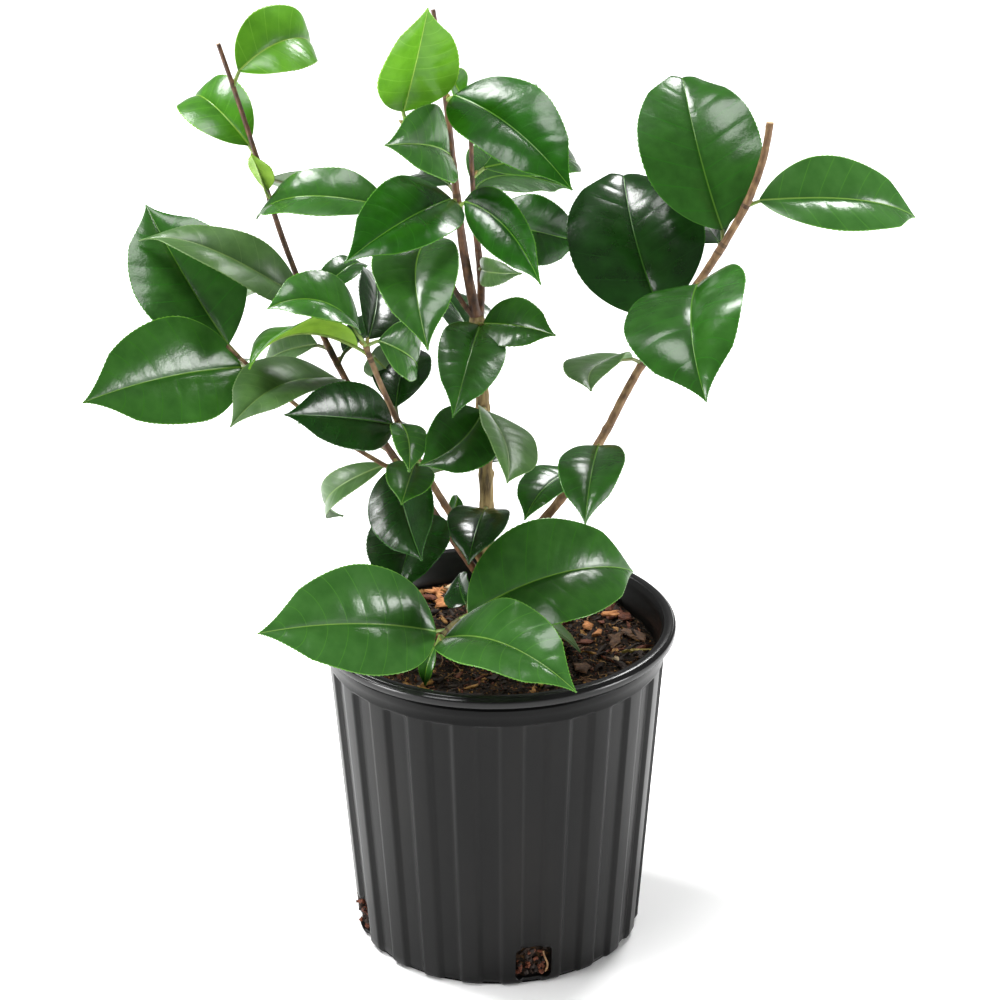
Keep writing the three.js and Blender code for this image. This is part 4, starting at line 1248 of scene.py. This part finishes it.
def make_rootlets():
    """Fine fibres on the mix, and one root that loops in the front drain hole."""
    draw = np.random.default_rng(ROOTLET_SEED)
    shape = Shape()
    for _ in range(ROOTLET_COUNT):
        away = 66 * sqrt(draw.uniform(0.02, 1))
        turn = draw.uniform(0, 2 * pi)
        heading = draw.uniform(0, 2 * pi)
        spot = np.array([away * cos(turn), away * sin(turn)])
        points = []
        for _ in range(ROOTLET_POINTS):
            points.append([*spot, mix_height(*spot) + 0.9 + draw.uniform(-0.3, 0.5)])
            heading += draw.normal() * 0.35
            spot = spot + ROOTLET_STEP * np.array([cos(heading), sin(heading)])
        if max(hypot(p[0], p[1]) for p in points) < wall_radius(SOIL_TOP) - 5:
            radii = np.full((ROOTLET_POINTS, 5), draw.uniform(0.12, 0.26))
            add_tube(shape, np.array(points), radii, "rootlet")
    t = np.linspace(0, 1, 26)
    depth = wall_radius(12) - FLUTE_DEPTH + 0.2 + 0.8 * np.sin(t * pi)
    points = np.outer(depth, direction(DRAIN_HEADING))
    points += np.outer(5.8 + 0.9 * np.sin(t * 5), direction(DRAIN_HEADING + 90))
    points += np.outer(6 + 11 * t, [0, 0, 1])
    add_tube(shape, points, np.full((len(t), 8), 0.4), "rootlet")
    make_piece("rootlets", shape, "potting_mix")


make_mix()
make_chips()
make_drain_clods()
make_rootlets()


# Floor, light and camera

FLOOR_SIZE = 45
CAMERA_PLACE = (2.2, -1321.6, 786.9)
CAMERA_AIM = (2.2, 0, 215)
CAMERA_ROLL = -0.4
SENSOR_WIDTH = 36
LENS = 114.84

# Soft lights: place and aim in metres, size and power
SOFTBOXES = {
    "light_back_left": ((-1.0, 0.55, 1.5), (0, 0, 0.25), 0.5, 30),
    "light_back_right": ((0.6, 1.05, 1.45), (0, 0, 0.25), 0.45, 22),
    "light_side_left": ((-1.7, -0.7, 0.3), (0, 0, 0.15), 0.55, 32),
    "light_side_right": ((1.7, -0.5, 0.3), (0, 0, 0.15), 0.55, 26),
}
OVERHEAD = {"rise": 78, "heading": 200, "spread": 30, "strength": 2.55}
SKY_STRENGTH = 0.24


def make_floor():
    made, surface = new_surface("floor")
    surface["Base Color"].default_value = (0.98, 0.98, 0.98, 1)
    surface["Roughness"].default_value = 0.8
    surface["Specular IOR Level"].default_value = 0.1
    mesh = bpy.data.meshes.new("floor")
    corners = [(x * FLOOR_SIZE, y * FLOOR_SIZE, 0) for x, y in ((-1, -1), (1, -1), (1, 1), (-1, 1))]
    mesh.from_pydata(corners, [], [(0, 1, 2, 3)])
    mesh.materials.append(made)
    add_object("floor", mesh)


def add_lamp(name, kind, energy, way):
    """A lamp that shines along a direction."""
    light = bpy.data.lights.new(name, kind)
    light.energy = energy
    lamp = add_object(name, light)
    lamp.rotation_mode = "QUATERNION"
    lamp.rotation_quaternion = Vector(way).to_track_quat("-Z", "Y")
    return lamp


def make_lights():
    """Four soft boxes, and a wide soft light from far off as from a large white ceiling panel."""
    for name, (place, aim, size, power) in SOFTBOXES.items():
        lamp = add_lamp(name, "AREA", power, Vector(aim) - Vector(place))
        lamp.location = place
        lamp.data.shape = "SQUARE"
        lamp.data.size = size
    way = -direction(OVERHEAD["heading"], OVERHEAD["rise"])
    lamp = add_lamp("light_overhead", "SUN", OVERHEAD["strength"], way)
    lamp.data.angle = radians(OVERHEAD["spread"])
    world = bpy.data.worlds.new("studio")
    world.use_nodes = True
    sky = world.node_tree.nodes["Background"].inputs
    sky["Color"].default_value = (1, 1, 1, 1)
    sky["Strength"].default_value = SKY_STRENGTH
    bpy.context.scene.world = world
    bpy.context.scene.view_settings.view_transform = "Standard"


def make_camera():
    """Camera where the photograph was taken from, a little above the plant and far off."""
    place = Vector(CAMERA_PLACE) * MM
    roll = radians(CAMERA_ROLL)
    data = bpy.data.cameras.new("camera")
    data.sensor_width = SENSOR_WIDTH
    data.lens = LENS
    data.clip_start = 0.05
    data.clip_end = 100
    camera = add_object("camera", data)
    back = (place - Vector(CAMERA_AIM) * MM).normalized()
    right = Vector((0, 0, 1)).cross(back).normalized()
    level = right * cos(roll) + back.cross(right) * sin(roll)
    turn = Matrix((level, back.cross(level), back)).transposed()
    camera.matrix_world = Matrix.Translation(place) @ turn.to_4x4()
    bpy.context.scene.camera = camera


make_floor()
make_camera()
make_lights()
